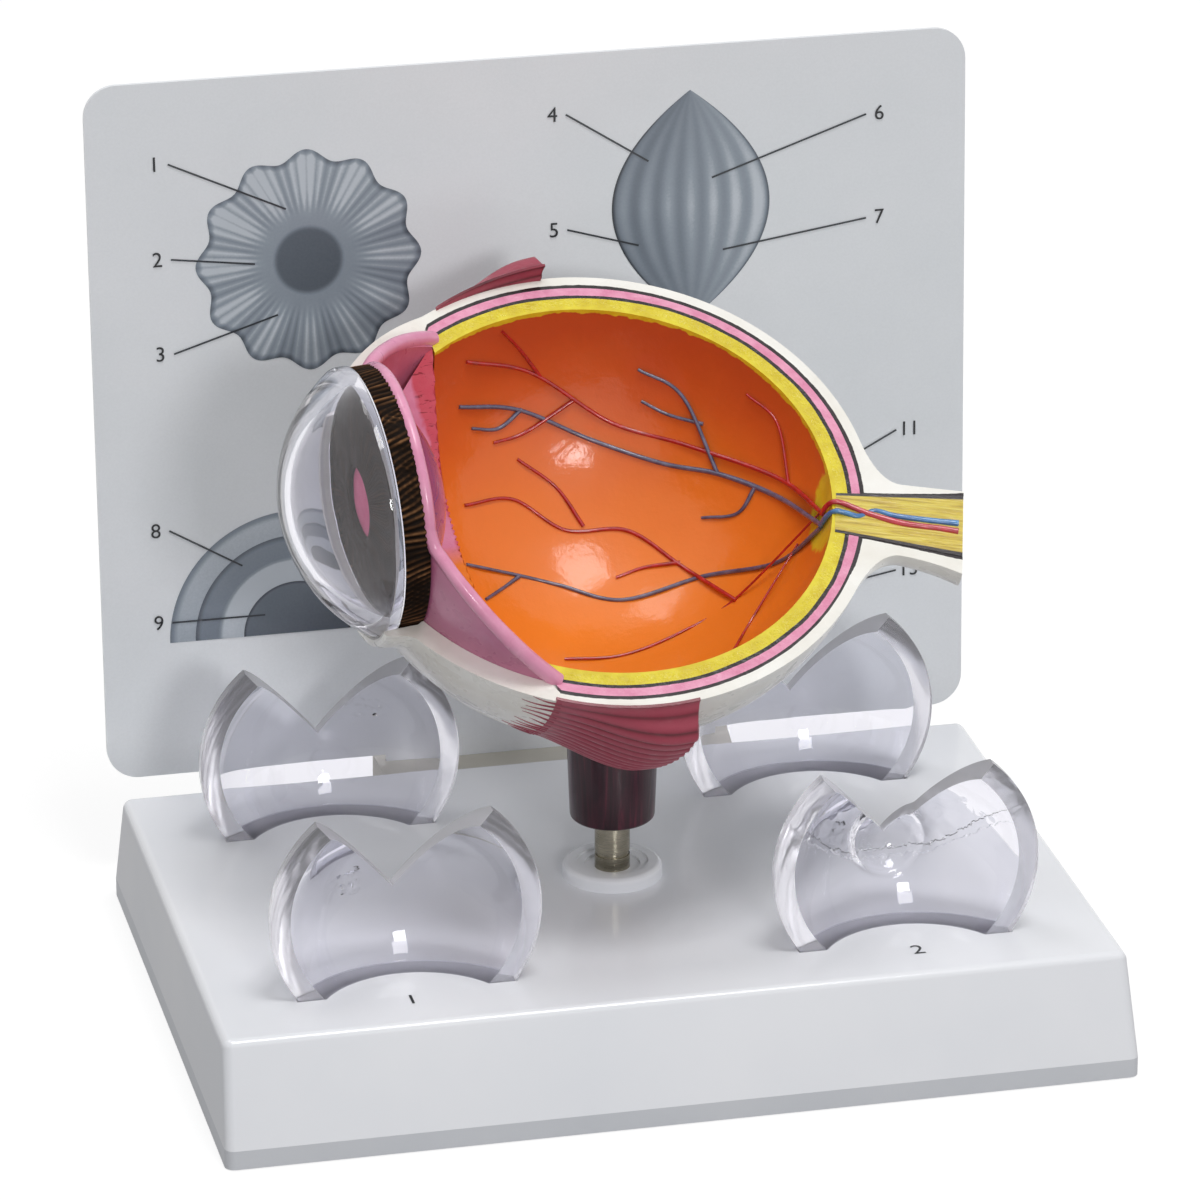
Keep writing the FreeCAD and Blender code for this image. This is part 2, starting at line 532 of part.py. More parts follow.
# clear dome, turned to look along the front of the optical axis
DOME_PLACE = EYE + " * " + spot(x="-sizes.limbus_distance", turn=TURN_Z % "180")
node(cut("cornea_dome", plain_outside, plain_inside, DOME_PLACE), "cornea_dome")

# yellow fibres of the nerve, cut open with the rest
nerve_half = common("nerve_half", nerve_core_form, under_cut)
node(cut("nerve_core", nerve_half, cavity_ball, EYE), "nerve_core")

# rectus muscles: cones round the optical axis that thicken to a blunt end, kept over part of a turn


def muscle(name, turn, start_turn):
    rise_radius = "sqrt(sizes.eye_radius ^ 2 - sizes.muscle_front ^ 2)"
    full_radius = "sizes.eye_radius + sizes.muscle_gauge"
    rotation = TURN_X % start_turn + " * " + TURN_Y % "90"
    swelling = primitive("Cone", name + "_swelling", spot(x="-sizes.muscle_front", turn=rotation),
                         Radius1=rise_radius, Radius2=full_radius, Height="sizes.muscle_front", Angle=turn)
    blunt_end = primitive("Cone", name + "_end", spot(x="0", turn=rotation),
                          Radius1=full_radius, Radius2="sizes.eye_radius - sizes.muscle_root",
                          Height="sizes.muscle_blunt", Angle=turn)
    solid = common(name + "_solid", fuse(name + "_round", [swelling, blunt_end]), under_cut)
    return node(cut(name, solid, sclera_ball, EYE), name)


# the pie starts on -Z and runs toward +Y; the far muscle ends at the far horizontal, the near one starts there
muscle("muscle_far", "sizes.muscle_far_turn", "90 - sizes.muscle_far_turn")
muscle("muscle_near", "sizes.muscle_near_turn", "-90")

# --------------------------------------------------------------------------------------------------- vessels


def cord(points, radius):
    """A round cord along a smooth curve through the points, closed at both ends."""
    curve = Part.BSplineCurve()
    curve.interpolate(points)
    path = Part.Wire(curve.toShape())
    along = curve.tangent(curve.FirstParameter)[0]
    ring = Part.Wire(Part.makeCircle(radius, points[0], along))
    return path.makePipeShell([ring], True, False)


def on_sphere(radius, longitude, latitude):
    """A point of the cavity wall; longitude runs from the nerve side toward +Y, latitude up from the middle."""
    a, b = math.radians(longitude), math.radians(latitude)
    return FreeCAD.Vector(radius * math.cos(b) * math.cos(a), radius * math.cos(b) * math.sin(a),
                          radius * math.sin(b))


def raised(name, cords, bed, rest=None):
    """A node of cords that keeps only what stands proud of its bed; rest is cut away where the two cross."""
    feature = doc.addObject("Part::Feature", name + "_form")
    feature.Shape = cords[0].multiFuse(cords[1:]) if len(cords) > 1 else cords[0]
    apart = feature if rest is None else cut(name + "_apart", feature, rest)
    node(common(name, apart, bed, EYE), name)
    return feature


def wall_cords(branches, radius):
    """Cords on the cavity wall; the first branch is the stem, the others are thinner."""
    depth = size("cavity_radius") - size("vessel_sink")
    cords = []
    for i, branch in enumerate(branches):
        points = [on_sphere(depth, longitude, latitude) for longitude, latitude in branch]
        cords.append(cord(points, radius if i == 0 else radius * size("branch_ratio")))
    return cords


# each branch lists (longitude, latitude) on the cavity wall, from its tip to where it joins
ARTERIES = [
    [(110, -18), (91, -27), (66, -40), (40, -39), (8, -28), (-16, -15)],
    [(99, -13), (94, -20), (88, -29)],
    [(107, -42), (95, -42), (78, -35)],
    [(130, -51), (108, -57), (84, -68), (45, -65), (5, -62), (-25, -49)],
    [(100, -48), (86, -57), (72, -67)],
    [(29, -77), (19, -70), (8, -62)],
    [(30, -18), (18, -18), (3, -26)],
    [(-14, -17), (-24, -49), (-40, -62), (-75, -70), (-119, -70)],
    [(-16, -28), (-37, -41), (-57, -38)],
]
VEINS = [
    [(115, -29), (96, -36), (72, -45), (45, -46), (25, -40), (4, -31), (-19, -16)],
    [(113, -36), (104, -39), (95, -36)],
    [(61, -25), (47, -28), (26, -40)],
    [(58, -33), (49, -34), (38, -32)],
    [(19, -51), (10, -43), (12, -35)],
    [(154, -59), (139, -73), (112, -82), (-3, -79), (-6, -58), (-17, -36), (-19, -17)],
    [(172, -65), (158, -70), (140, -73)],
]
artery_cords = raised("retinal_arteries", wall_cords(ARTERIES, size("artery_radius")), cavity_ball)
raised("retinal_veins", wall_cords(VEINS, size("vein_radius")), cavity_ball, artery_cords)

# the vessels go on along the cut nerve, in the plane of the cut; the vein dips under the artery between its parts
NERVE_ARTERY = [[(42.2, -12.9), (45.3, -15.7), (50.3, -18.8), (59.4, -22.4)]]
NERVE_VEIN = [
    [(42.0, -15.8), (42.8, -15.9), (43.5, -16.1)],
    [(46.4, -14.7), (49.7, -16.8), (60.0, -20.6)],
]
above_cut = primitive("Box", "above_cut", spot(-HALF, -HALF, CUT), Length=SPAN, Width=SPAN, Height=SPAN)


def cut_cords(parts):
    level = -size("cut_drop")
    lines = [[FreeCAD.Vector(x, y, level) for x, y in part] for part in parts]
    return [cord(line, size("nerve_cord_radius")) for line in lines]


raised("nerve_artery", cut_cords(NERVE_ARTERY), above_cut)
raised("nerve_vein", cut_cords(NERVE_VEIN), above_cut)

# ----------------------------------------------------------------------------------------------------- stem

stem_cone = primitive("Cone", "stem_cone", spot(z="sizes.stem_bottom"), Radius1="sizes.stem_bottom_radius",
                      Radius2="sizes.stem_top_radius", Height="sizes.stem_top - sizes.stem_bottom")
stem_bore = primitive("Cylinder", "stem_bore", Radius="sizes.rod_diameter / 2 + sizes.running_gap",
                      Height="sizes.rod_top")
eye_outside = primitive("Sphere", "eye_outside", spot(x="sizes.eye_x", z="sizes.eye_z"), Radius="sizes.eye_radius")
node(cut("stem", stem_cone, fuse("stem_rooms", [stem_bore, eye_outside])), "stem")

# -------------------------------------------------------------------------------------------- check and export

doc.recompute()
for item in doc.Objects:
    broken = {"Invalid", "Error"} & set(item.State)
    if broken:
        raise RuntimeError("%s: %s" % (item.Name, item.State))
for body in NODES:
    if body.Shape.isNull() or not body.Shape.isValid() or not body.Shape.Solids:
        raise RuntimeError("%s has no sound solid" % body.Label)
os.makedirs("parts", exist_ok=True)
for body in NODES:
    body.Shape.exportStep("parts/%s.step" % body.Label)
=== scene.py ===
"""Looks of an eye anatomy model on a stand: an add-on with one operator for each group of pieces."""

import math
from functools import partial

import bmesh
import bpy
import numpy as np
from mathutils import Matrix, Vector


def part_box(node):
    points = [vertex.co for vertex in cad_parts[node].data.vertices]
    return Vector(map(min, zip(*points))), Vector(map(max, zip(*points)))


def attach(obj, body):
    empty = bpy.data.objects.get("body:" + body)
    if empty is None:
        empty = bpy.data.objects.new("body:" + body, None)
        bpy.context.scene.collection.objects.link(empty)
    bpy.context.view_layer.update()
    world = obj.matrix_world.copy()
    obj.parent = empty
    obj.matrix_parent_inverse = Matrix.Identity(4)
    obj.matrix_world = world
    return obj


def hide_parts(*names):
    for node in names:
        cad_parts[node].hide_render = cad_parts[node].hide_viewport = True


bl_info = {
    "name": "Eye anatomy model",
    "version": (1, 0, 0),
    "blender": (4, 5, 0),
    "location": "View3D > Sidebar > Eye Model",
    "description": "Builds the visible pieces, materials and stage of an eye anatomy model",
    "category": "Add Mesh",
}

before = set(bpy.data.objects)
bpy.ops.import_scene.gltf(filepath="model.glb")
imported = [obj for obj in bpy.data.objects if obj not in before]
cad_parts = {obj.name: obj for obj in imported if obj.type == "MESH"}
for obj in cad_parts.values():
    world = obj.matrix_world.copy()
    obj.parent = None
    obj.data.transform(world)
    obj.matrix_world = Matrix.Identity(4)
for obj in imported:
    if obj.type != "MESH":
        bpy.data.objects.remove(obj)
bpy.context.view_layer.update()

# Lengths inside the piece functions are millimetres; MM turns them into scene metres.
MM = 0.001


def measured(node):
    """Lowest and highest corner of a node of the frame, in millimetres."""
    return [np.round(np.array(corner) / MM, 4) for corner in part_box(node)]


# -------------------- driving sizes

# The eye frame has +X along the optical axis, toward the back, and +Z square to the plane of the cut.
EYE_CENTRE = np.array([-1.1, 0.0, 100.8])
EYE_ANGLES = (math.radians(30.3), math.radians(-2.8), math.radians(4.9))
EYE_TURN = np.array(
    Matrix.Rotation(EYE_ANGLES[2], 3, "Z") @ Matrix.Rotation(EYE_ANGLES[1], 3, "Y")
    @ Matrix.Rotation(EYE_ANGLES[0], 3, "X")
)
CUT = -7.0  # height of the cut's plane in the eye frame
EYE_RADIUS = 49.35  # outside of the white shell
CHOROID, RETINA, LINING, CAVITY = 46.8, 44.5, 42.5, 41.8  # outer radii of the layers, then the cavity's
LAYERS_FRONT = -20.5  # where the three layers end toward the cornea
WALL_OUTSIDE = 45.6  # outer radius of the pink wall in front of the layers
# in front of the layers the cut rises: by 1 on the near side, and on the far side by these slopes
WHITE_SLOPE, WALL_SLOPE = 0.3, 0.72  # of the white shell and of the pink wall
IRIS_BACK = -39.3
RIM_RADIUS = 23.93  # of the dome and of the loose corneas

# The nerve's axis starts in the cut's plane, under the eye's centre, and points along NERVE_ALONG.
NERVE_ANGLE = math.radians(-19.5)
NERVE_ALONG = np.array([math.cos(NERVE_ANGLE), math.sin(NERVE_ANGLE), 0.0])
NERVE_ACROSS = np.array([-math.sin(NERVE_ANGLE), math.cos(NERVE_ANGLE), 0.0])
NERVE_ENTRY = (38.5, -11.5, -8.5)  # on the cavity's wall
NERVE_END = 64.6
CORE_ROOT, BORE_ROOT = 39.8, 46.6  # where the core leaves the cavity and where it enters the white shell
SLEEVE_RADIUS, SLEEVE_LIMIT = 8.0, 10.8
SLEEVE_ROOT, FILLET_ROOT = 53.5, 17.5  # where the sleeve's fillet starts, and how far out it meets the ball
UP = np.array([0.0, 0.0, 1.0])

BASE_TOP = measured("base_shell")[1][2]
DOME_AXIS = 35.8  # height of the loose corneas' axis over the desk
DOME_OUTSIDE, DOME_INSIDE = 28.4, 22.7  # radii of the balls that a dome's two skins are parts of
OUTSIDE_DEPTH, INSIDE_DEPTH = 13.1, 10.0  # how far their centres lie behind a loose cornea's flat side
NOTCH_HALF = math.radians(40.0)
CARD_FOOT = np.array([1.2, 65.4, 20.1])
CARD_LEAN = math.radians(2.6)
CARD_SKY = np.array([0.0, math.sin(CARD_LEAN), math.cos(CARD_LEAN)])
CARD_FRONT = np.array([0.0, -math.cos(CARD_LEAN), math.sin(CARD_LEAN)])

# Each face of a piece has a zone, which its material reads. The iris has them for its side, plate and pupil.
OUTER_FACE, INNER_FACE, CUT_FACE, NOTCH_FACE = 0.0, 1.0, 2.0, 3.0


def eye_place(points):
    """Eye frame to world: the points turned by the eye's rotation, then moved to the eyeball's centre."""
    return points @ EYE_TURN.T + EYE_CENTRE


def upright_place(points):
    """A piece drawn round the X axis, stood up on the world's vertical axis."""
    return points[:, [1, 2, 0]]


def card_place(points):
    """Card frame to world: right, up along the card and out of its front."""
    right, up, out = points[:, :1], points[:, 1:2], points[:, 2:]
    return CARD_FOOT + right * np.array([1.0, 0, 0]) + up * CARD_SKY + out * CARD_FRONT


def top_place(points):
    """Base frame to world: right, back and up from the base's top."""
    return points + np.array([0.0, 0.0, BASE_TOP])


# -------------------- mesh helpers


def smooth_step(low, high, x):
    """0 below low, 1 above high, and the cubic 3t^2 - 2t^3 between."""
    t = np.clip((x - low) / (high - low), 0, 1)
    return t * t * (3 - 2 * t)


def wobble(x, y, seed=0, waves=5, octave=1.7):
    """Smooth pseudo-random height from -1 to 1: a sum of sine waves whose directions and phases come from
    a seed."""
    random = np.random.default_rng(seed)
    total = np.zeros(np.broadcast(x, y).shape)
    weight = 0.0
    for i in range(waves):
        angle, phase = random.uniform(0, 2 * math.pi, 2)
        pitch = octave ** (i * 0.6)
        share = 1 / (1 + 0.6 * i)
        total = total + share * np.sin(pitch * (x * math.cos(angle) + y * math.sin(angle)) + phase)
        weight += share
    return total / weight


def through(points, count):
    """A smooth path through given points: Catmull-Rom curves, sampled at count even steps of the
    parameter."""
    points = np.asarray(points, float)
    ends = np.vstack([2 * points[0] - points[1], points, 2 * points[-1] - points[-2]])
    s = np.linspace(0, len(points) - 1, count)
    i = np.minimum(s.astype(int), len(points) - 2)
    t = (s - i)[:, None]
    a, b, c, d = ends[i], ends[i + 1], ends[i + 2], ends[i + 3]
    quadratic = 2 * b + (c - a) * t + (2 * a - 5 * b + 4 * c - d) * t ** 2
    return 0.5 * (quadratic + (3 * b - a - 3 * c + d) * t ** 3)


def bent(start, corner, end, t):
    """The quadratic curve (1-t)^2 start + 2t(1-t) corner + t^2 end."""
    return (1 - t) ** 2 * start + 2 * t * (1 - t) * corner + t ** 2 * end


def around(x, radius, angle):
    """Points at x on the X axis, at a radius from it, at an angle from +Y toward +Z."""
    x, radius, angle = np.broadcast_arrays(x, radius, angle)
    return np.stack([x, radius * np.cos(angle), radius * np.sin(angle)], -1)


def revolve(profile, count):
    """A surface round the X axis: the points (x, radius) of a profile at count angles of a full turn."""
    x, radius = np.asarray(profile, float).T[:, :, None]
    return around(x, radius, np.linspace(0, 2 * math.pi, count))


def sheet(points, zone=OUTER_FACE, across=0.0):
    """One surface patch: a grid of points, a zone for its faces and a value across it for its points."""
    points = np.asarray(points, float)
    return points, zone, np.broadcast_to(np.asarray(across, float), points.shape[:2])


def strip(first, second, zone, across=(0.0, 1.0)):
    """The narrow patch between two rows of points."""
    values = np.stack([np.broadcast_to(value, len(first)) for value in across])
    return sheet(np.stack([first, second]), zone, values)


def slab(outer, inner, across=None, inside=0.0):
    """A closed wall between two grids of the same size, with strips along their four borders as its cut
    faces. Where across isn't given, it is the distance in millimetres from the inner grid."""
    if across is None:
        across = np.linalg.norm(outer - inner, axis=2)
    inside = np.broadcast_to(inside, across.shape)
    return [
        sheet(outer, OUTER_FACE, across),
        sheet(inner[::-1], INNER_FACE, inside[::-1]),
        strip(outer[0], inner[0], CUT_FACE, (across[0], inside[0])),
        strip(inner[-1], outer[-1], CUT_FACE, (inside[-1], across[-1])),
        strip(inner[:, 0], outer[:, 0], CUT_FACE, (inside[:, 0], across[:, 0])),
        strip(outer[:, -1], inner[:, -1], CUT_FACE, (across[:, -1], inside[:, -1])),
    ]


def tube(path, radius, sides=12):
    """A round cord: circles square to a path, in frames carried along it, with a point at each end."""
    path = np.asarray(path, float)
    along = np.gradient(path, axis=0)
    along /= np.linalg.norm(along, axis=1)[:, None]
    helper = np.cross(along, path - path.mean(0) + 0.37)
    helper /= np.linalg.norm(helper, axis=1)[:, None]
    other = np.cross(along, helper)
    turn = np.linspace(0, 2 * math.pi, sides + 1)
    ring = helper[:, None] * np.cos(turn)[None, :, None] + other[:, None] * np.sin(turn)[None, :, None]
    body = path[:, None] + ring * np.broadcast_to(radius, len(path))[:, None, None]
    ends = [np.repeat(path[k][None, None], sides + 1, 1) for k in (0, -1)]
    return np.concatenate([ends[0], body, ends[1]])


def build(name, body, patches, nodes, material, place=eye_place, sharp=40.0):
    """Puts patches into one mesh: corners are merged, faces turned outward and shaded smooth up to an
    angle."""
    corners, faces, zones, across = [], [], [], []
    start = 0
    for points, zone, values in patches:
        rows, columns = points.shape[:2]
        i, j = np.meshgrid(np.arange(rows - 1), np.arange(columns - 1), indexing="ij")
        first = start + i * columns + j
        quads = np.stack([first, first + 1, first + columns + 1, first + columns], -1).reshape(-1, 4)
        corners.append(points.reshape(-1, 3))
        faces.append(quads)
        zones.append(np.full(len(quads), zone, np.float32))
        across.append(values.reshape(-1))
        start += rows * columns
    corners = place(np.concatenate(corners)) * MM
    faces = np.concatenate(faces)
    mesh = bpy.data.meshes.new(name)
    mesh.vertices.add(len(corners))
    mesh.vertices.foreach_set("co", corners.astype(np.float32).ravel())
    mesh.loops.add(faces.size)
    mesh.loops.foreach_set("vertex_index", faces.astype(np.int32).ravel())
    mesh.polygons.add(len(faces))
    mesh.polygons.foreach_set("loop_start", np.arange(0, faces.size, 4, dtype=np.int32))
    mesh.polygons.foreach_set("loop_total", np.full(len(faces), 4, np.int32))
    mesh.update(calc_edges=True)
    for attribute, domain, values in (("zone", "FACE", zones), ("across", "POINT", across)):
        stored = mesh.attributes.new(attribute, "FLOAT", domain)
        stored.data.foreach_set("value", np.concatenate(values).astype(np.float32))
    work = bmesh.new()
    work.from_mesh(mesh)
    bmesh.ops.remove_doubles(work, verts=work.verts, dist=2e-6)
    bmesh.ops.dissolve_degenerate(work, edges=work.edges, dist=1e-7)
    bmesh.ops.recalc_face_normals(work, faces=work.faces)
    work.to_mesh(mesh)
    work.free()
    mesh.shade_smooth()
    mesh.set_sharp_from_angle(angle=math.radians(sharp))
    finish_piece(name, mesh, body, nodes, material)


def finish_piece(name, mesh, body, nodes, material):
    """Makes a mesh a piece with its material and the body it moves with, and hides the CAD nodes it stands
    for."""
    mesh.materials.clear()
    mesh.materials.append(material)
    piece = bpy.data.objects.new(name, mesh)
    bpy.context.scene.collection.objects.link(piece)
    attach(piece, body)
    if nodes:
        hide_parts(*nodes)


# -------------------- material helpers


def linear(hex_code):
    """An sRGB hex colour as the linear values that the shaders take."""
    s = np.array([int(hex_code[i:i + 2], 16) for i in (1, 3, 5)]) / 255
    rgb = np.where(s <= 0.04045, s / 12.92, ((s + 0.055) / 1.055) ** 2.4)
    return (*(float(v) for v in rgb), 1.0)


def add_node(tree, kind, *values, stops=(), **named):
    """Adds a shader node to a tree. Values go to its inputs in order. A named value goes to the input of
    that name, or to the node's own setting when the name is in small letters. A node or socket is linked,
    a hex colour is turned to linear and anything else is set as it is. Stops are the places and colours
    of a ramp."""
    node = tree.nodes.new("ShaderNode" + kind)
    for key, value in named.items():
        if key.islower():
            setattr(node, key, value)
    for k, (position, colour) in enumerate(stops):
        elements = node.color_ramp.elements
        element = elements[k] if k < len(elements) else elements.new(position)
        element.position = position
        element.color = linear(colour)
    inputs = [socket for socket in node.inputs if socket.enabled]
    pairs = list(zip(inputs, values))
    for key, value in named.items():
        if not key.islower():
            pairs.append((next(s for s in inputs if s.name == key.replace("_", " ")), value))
    for socket, value in pairs:
        if isinstance(value, bpy.types.Node):
            value = next(s for s in value.outputs if s.enabled)
        if isinstance(value, bpy.types.NodeSocket):
            tree.links.new(value, socket)
        else:
            socket.default_value = linear(value) if isinstance(value, str) else value
    return node


def new_material(name):
    """An empty material, and the function that adds nodes to it."""
    material = bpy.data.materials.new(name)
    material.use_nodes = True
    material.node_tree.nodes.clear()
    return material, partial(add_node, material.node_tree)


def surface(add, **sockets):
    """The finished surface: one Principled shader wired to the output."""
    add("OutputMaterial", Surface=add("BsdfPrincipled", **sockets))


def eye_millimetres(add):
    """Object coordinates as millimetres in the eye frame."""
    return add("Mapping", add("TexCoord").outputs["Object"], vector_type="TEXTURE",
               Location=tuple(EYE_CENTRE * MM), Rotation=EYE_ANGLES, Scale=(MM, MM, MM))


def world_millimetres(add):
    """Object coordinates as millimetres in the world."""
    return add("Mapping", add("TexCoord").outputs["Object"], Scale=(1 / MM, 1 / MM, 1 / MM))


def from_zone(add, number):
    """1 on the faces of this zone and of the higher ones, and 0 on the rest."""
    return add("MapRange", add("Attribute", attribute_name="zone").outputs["Fac"], number - 0.6,
               number - 0.4)


def frayed(add, value, place, scale, reach, detail=2.0, **noise):
    """A value moved up by up to the reach, by noise with the scale's number of clouds to the millimetre.
    Where the value is then cut off at a level, the border is ragged."""
    cloud = add("TexNoise", Vector=place, Scale=scale, Detail=detail, **noise)
    return add("Math", cloud, reach, value, operation="MULTIPLY_ADD")


def tinted(add, place, dark, light, size, contrast=1.0):
    """A paint colour that drifts between two close tones in patches of the given size."""
    noise = add("TexNoise", Vector=place, Scale=1 / size, Detail=3.0, Roughness=0.55)
    spread = 0.25 / contrast
    return add("Mix", add("MapRange", noise, 0.5 - spread, 0.5 + spread), dark, light, data_type="RGBA")


def drawn_line(add, place, width):
    """1 on the cut within a width in millimetres of a layer's inner border: a dark line drawn with a fine
    brush."""
    waver = frayed(add, add("Attribute", attribute_name="across").outputs["Fac"], place, 0.5, 0.3)
    return add("Math", add("MapRange", waver, width + 0.11, width + 0.19, 1.0, 0.0),
               from_zone(add, CUT_FACE), operation="MULTIPLY")


def hand_painted(add, colour, place, roughness=0.3, stroke=3.0, depth=0.08, gloss=0.6, shine=0.5):
    """Enamel paint brushed on by hand under a coat of varnish: soft lumps as wide as a brush stroke and a
    finer tooth, both in the relief, with patches of slightly different gloss. Matt paint has no varnish
    and less shine."""
    lumps = add("TexNoise", Vector=place, Scale=1 / stroke, Detail=2.0, Roughness=0.5)
    tooth = add("TexNoise", Vector=place, Scale=3.0 / stroke, Detail=3.0, Roughness=0.6)
    relief = add("Math", lumps, 0.7, add("Math", tooth, 0.3, operation="MULTIPLY"),
                 operation="MULTIPLY_ADD")
    normal = add("Bump", Strength=1.0, Distance=depth * MM, Height=relief)
    patchy = add("MapRange", lumps, 0.3, 0.7, roughness * 0.75, roughness * 1.25)
    surface(add, Base_Color=colour, Roughness=patchy, Normal=normal, IOR=RESIN_IOR,
            Specular_IOR_Level=shine, Coat_Weight=gloss, Coat_Roughness=0.09, Coat_IOR=RESIN_IOR)


# -------------------- materials

ABS_IOR, ACRYLIC_IOR = 1.53, 1.49
RESIN_IOR = 1.5  # also of enamel, film and ink
LINE_COLOUR = "#180A10"  # of the dark lines drawn on the cut
YELLOW = ("#D6BE1A", "#EAD930")  # of the yellow layer, darker and lighter


def white_abs(name, colour="#F0F1F5", shade="#EAECF1"):
    """White ABS, injection moulded: faces that look up are polished, with a clean reflection over very
    shallow waves and fine hairlines, and the drawn sides are satin."""
    material, add = new_material(name)
    place = world_millimetres(add)
    waves = add("TexNoise", Vector=place, Scale=1 / 14.0, Detail=1.0)
    along = add("Mapping", place, Scale=(0.15, 5.0, 0.5))
    hairlines = add("TexNoise", Vector=along, Scale=1.0, Detail=2.0)
    relief = add("Math", hairlines, 0.03, waves, operation="MULTIPLY_ADD")
    upward = add("SeparateXYZ", add("TexCoord").outputs["Normal"]).outputs["Z"]
    polished = add("MapRange", upward, 0.3, 0.7)
    polish = add("MapRange", hairlines, 0.35, 0.75, 0.12, 0.22)
    surface(add, Base_Color=tinted(add, place, shade, colour, 30.0), IOR=ABS_IOR,
            Roughness=add("MapRange", polished, 0.0, 1.0, 0.5, polish),
            Specular_IOR_Level=add("MapRange", polished, 0.0, 1.0, 0.15, 0.5),
            Normal=add("Bump", Strength=0.35, Distance=0.05 * MM, Height=relief))
    return material


def plated_steel():
    """Nickel plated steel rod, turned and then rubbed bright: warm grey metal with fine rings round it
    and a worn, duller patch here and there."""
    material, add = new_material("nickel plated steel")
    place = world_millimetres(add)
    rings = add("TexNoise", Vector=add("Mapping", place, Scale=(0.2, 0.2, 9.0)), Scale=1.0, Detail=3.0)
    wear = add("TexNoise", Vector=place, Scale=0.35, Detail=4.0)
    surface(add, Base_Color=add("Mix", wear, "#7C7767", "#B0AA9A", data_type="RGBA"), Metallic=1.0,
            Roughness=add("MapRange", rings, 0.3, 0.7, 0.2, 0.38),
            Normal=add("Bump", Strength=0.5, Distance=0.02 * MM, Height=rings))
    return material


def clear_acrylic(name, tint="#F4F3FA", relief=None):
    """Cast clear acrylic, polished: sharp reflections inside and out and a faint lavender tone where it
    is thick. Sawn and sanded edges are satin and a little milky. The loose pieces have a moulded relief
    of their own, given by the function relief."""
    material, add = new_material(name)
    place = world_millimetres(add)
    ripple = add("TexNoise", Vector=place, Scale=1 / 9.0, Detail=2.0)
    scuffs = add("TexNoise", Vector=place, Scale=1.5, Detail=4.0)
    normal = add("Bump", Strength=0.25, Distance=0.15 * MM, Height=ripple)
    if relief:
        normal = add("Bump", Strength=1.0, Distance=0.3 * MM, Height=relief(add, place), Normal=normal)
    polish = add("MapRange", scuffs, 0.45, 0.8, 0.02, 0.07)
    clearness = add("MapRange", add("Attribute", attribute_name="zone").outputs["Fac"], 1.2, NOTCH_FACE,
                    1.0, 0.5)
    surface(add, Base_Color=tint, Transmission_Weight=clearness, IOR=ACRYLIC_IOR, Normal=normal,
            Roughness=add("MapRange", from_zone(add, CUT_FACE), 0.0, 1.0, polish, 0.2))
    return material


def bubbles(add, place, pitch):
    """Round blisters side by side: 1 on their tops and 0 between them."""
    cells = add("TexVoronoi", Vector=place, Scale=1 / pitch, Randomness=0.9, feature="SMOOTH_F1")
    return add("MapRange", cells.outputs["Distance"], 0.0, 0.55, 1.0, 0.0)


def blisters(corner, reach):
    """A patch of small blisters, 1.5 mm across, moulded round a point of the dome."""
    def relief(add, place):
        flat = add("Mapping", add("VectorMath", place, corner, operation="SUBTRACT"), Scale=(1.0, 1.0, 1.7))
        gap = add("VectorMath", flat, operation="LENGTH").outputs["Value"]
        close = add("MapRange", frayed(add, gap, place, 0.5, 2.0), reach + 0.5, reach + 1.5, 1.0, 0.0)
        return add("Math", bubbles(add, place, 1.5), close, operation="MULTIPLY")
    return relief


def swelling(x, level):
    """A step along a ragged line that crosses the dome under its notch and rises to both sides as a
    parabola; above it the dome is thicker and full of shallow bubbles."""
    def relief(add, place):
        split = add("SeparateXYZ", place).outputs
        aside = add("Math", add("Math", split["X"], x, operation="SUBTRACT"), 2.0, operation="POWER")
        over = add("Math", split["Z"], add("Math", aside, 0.03, operation="MULTIPLY"), operation="SUBTRACT")
        ragged = frayed(add, over, place, 0.6, 3.0, 3.0, Roughness=0.7)
        above = add("MapRange", ragged, level + 1.5, level + 1.8)
        rough = add("Math", bubbles(add, place, 2.6), 0.5, 0.6, operation="MULTIPLY_ADD")
        fade = add("MapRange", split["Z"], level + 7.0, level + 12.0, 1.0, 0.25)
        return add("Math", add("Math", rough, fade, operation="MULTIPLY"), above, operation="MULTIPLY")
    return relief


def white_enamel():
    """White enamel over resin, brushed by hand: warm white that drifts to cream in patches. A dark line
    drawn with a fine brush edges the cut's inner border, behind the pink wall only."""
    material, add = new_material("white enamel")
    place = eye_millimetres(add)
    white = tinted(add, place, "#ECE8DE", "#FBFAF5", 11.0)
    behind = add("MapRange", add("SeparateXYZ", place).outputs["X"], LAYERS_FRONT - 0.6, LAYERS_FRONT)
    line = add("Math", drawn_line(add, place, 0.75), behind, operation="MULTIPLY")
    hand_painted(add, add("Mix", line, white, LINE_COLOUR, data_type="RGBA"), place, stroke=4.0, depth=0.2,
                 gloss=0.3, shine=0.4)
    return material


def layer_enamel(name, tones, line, depth):
    """Coloured enamel of one layer, laid on thick in small glossy lumps; a dark line of the given width
    is drawn on the cut along the layer's inner border."""
    material, add = new_material(name)
    place = eye_millimetres(add)
    colour = tinted(add, place, *tones, 3.0, 1.3)
    if line:
        colour = add("Mix", drawn_line(add, place, line), colour, LINE_COLOUR, data_type="RGBA")
    hand_painted(add, colour, place, roughness=0.28, stroke=1.9, depth=depth, gloss=0.35, shine=0.35)
    return material


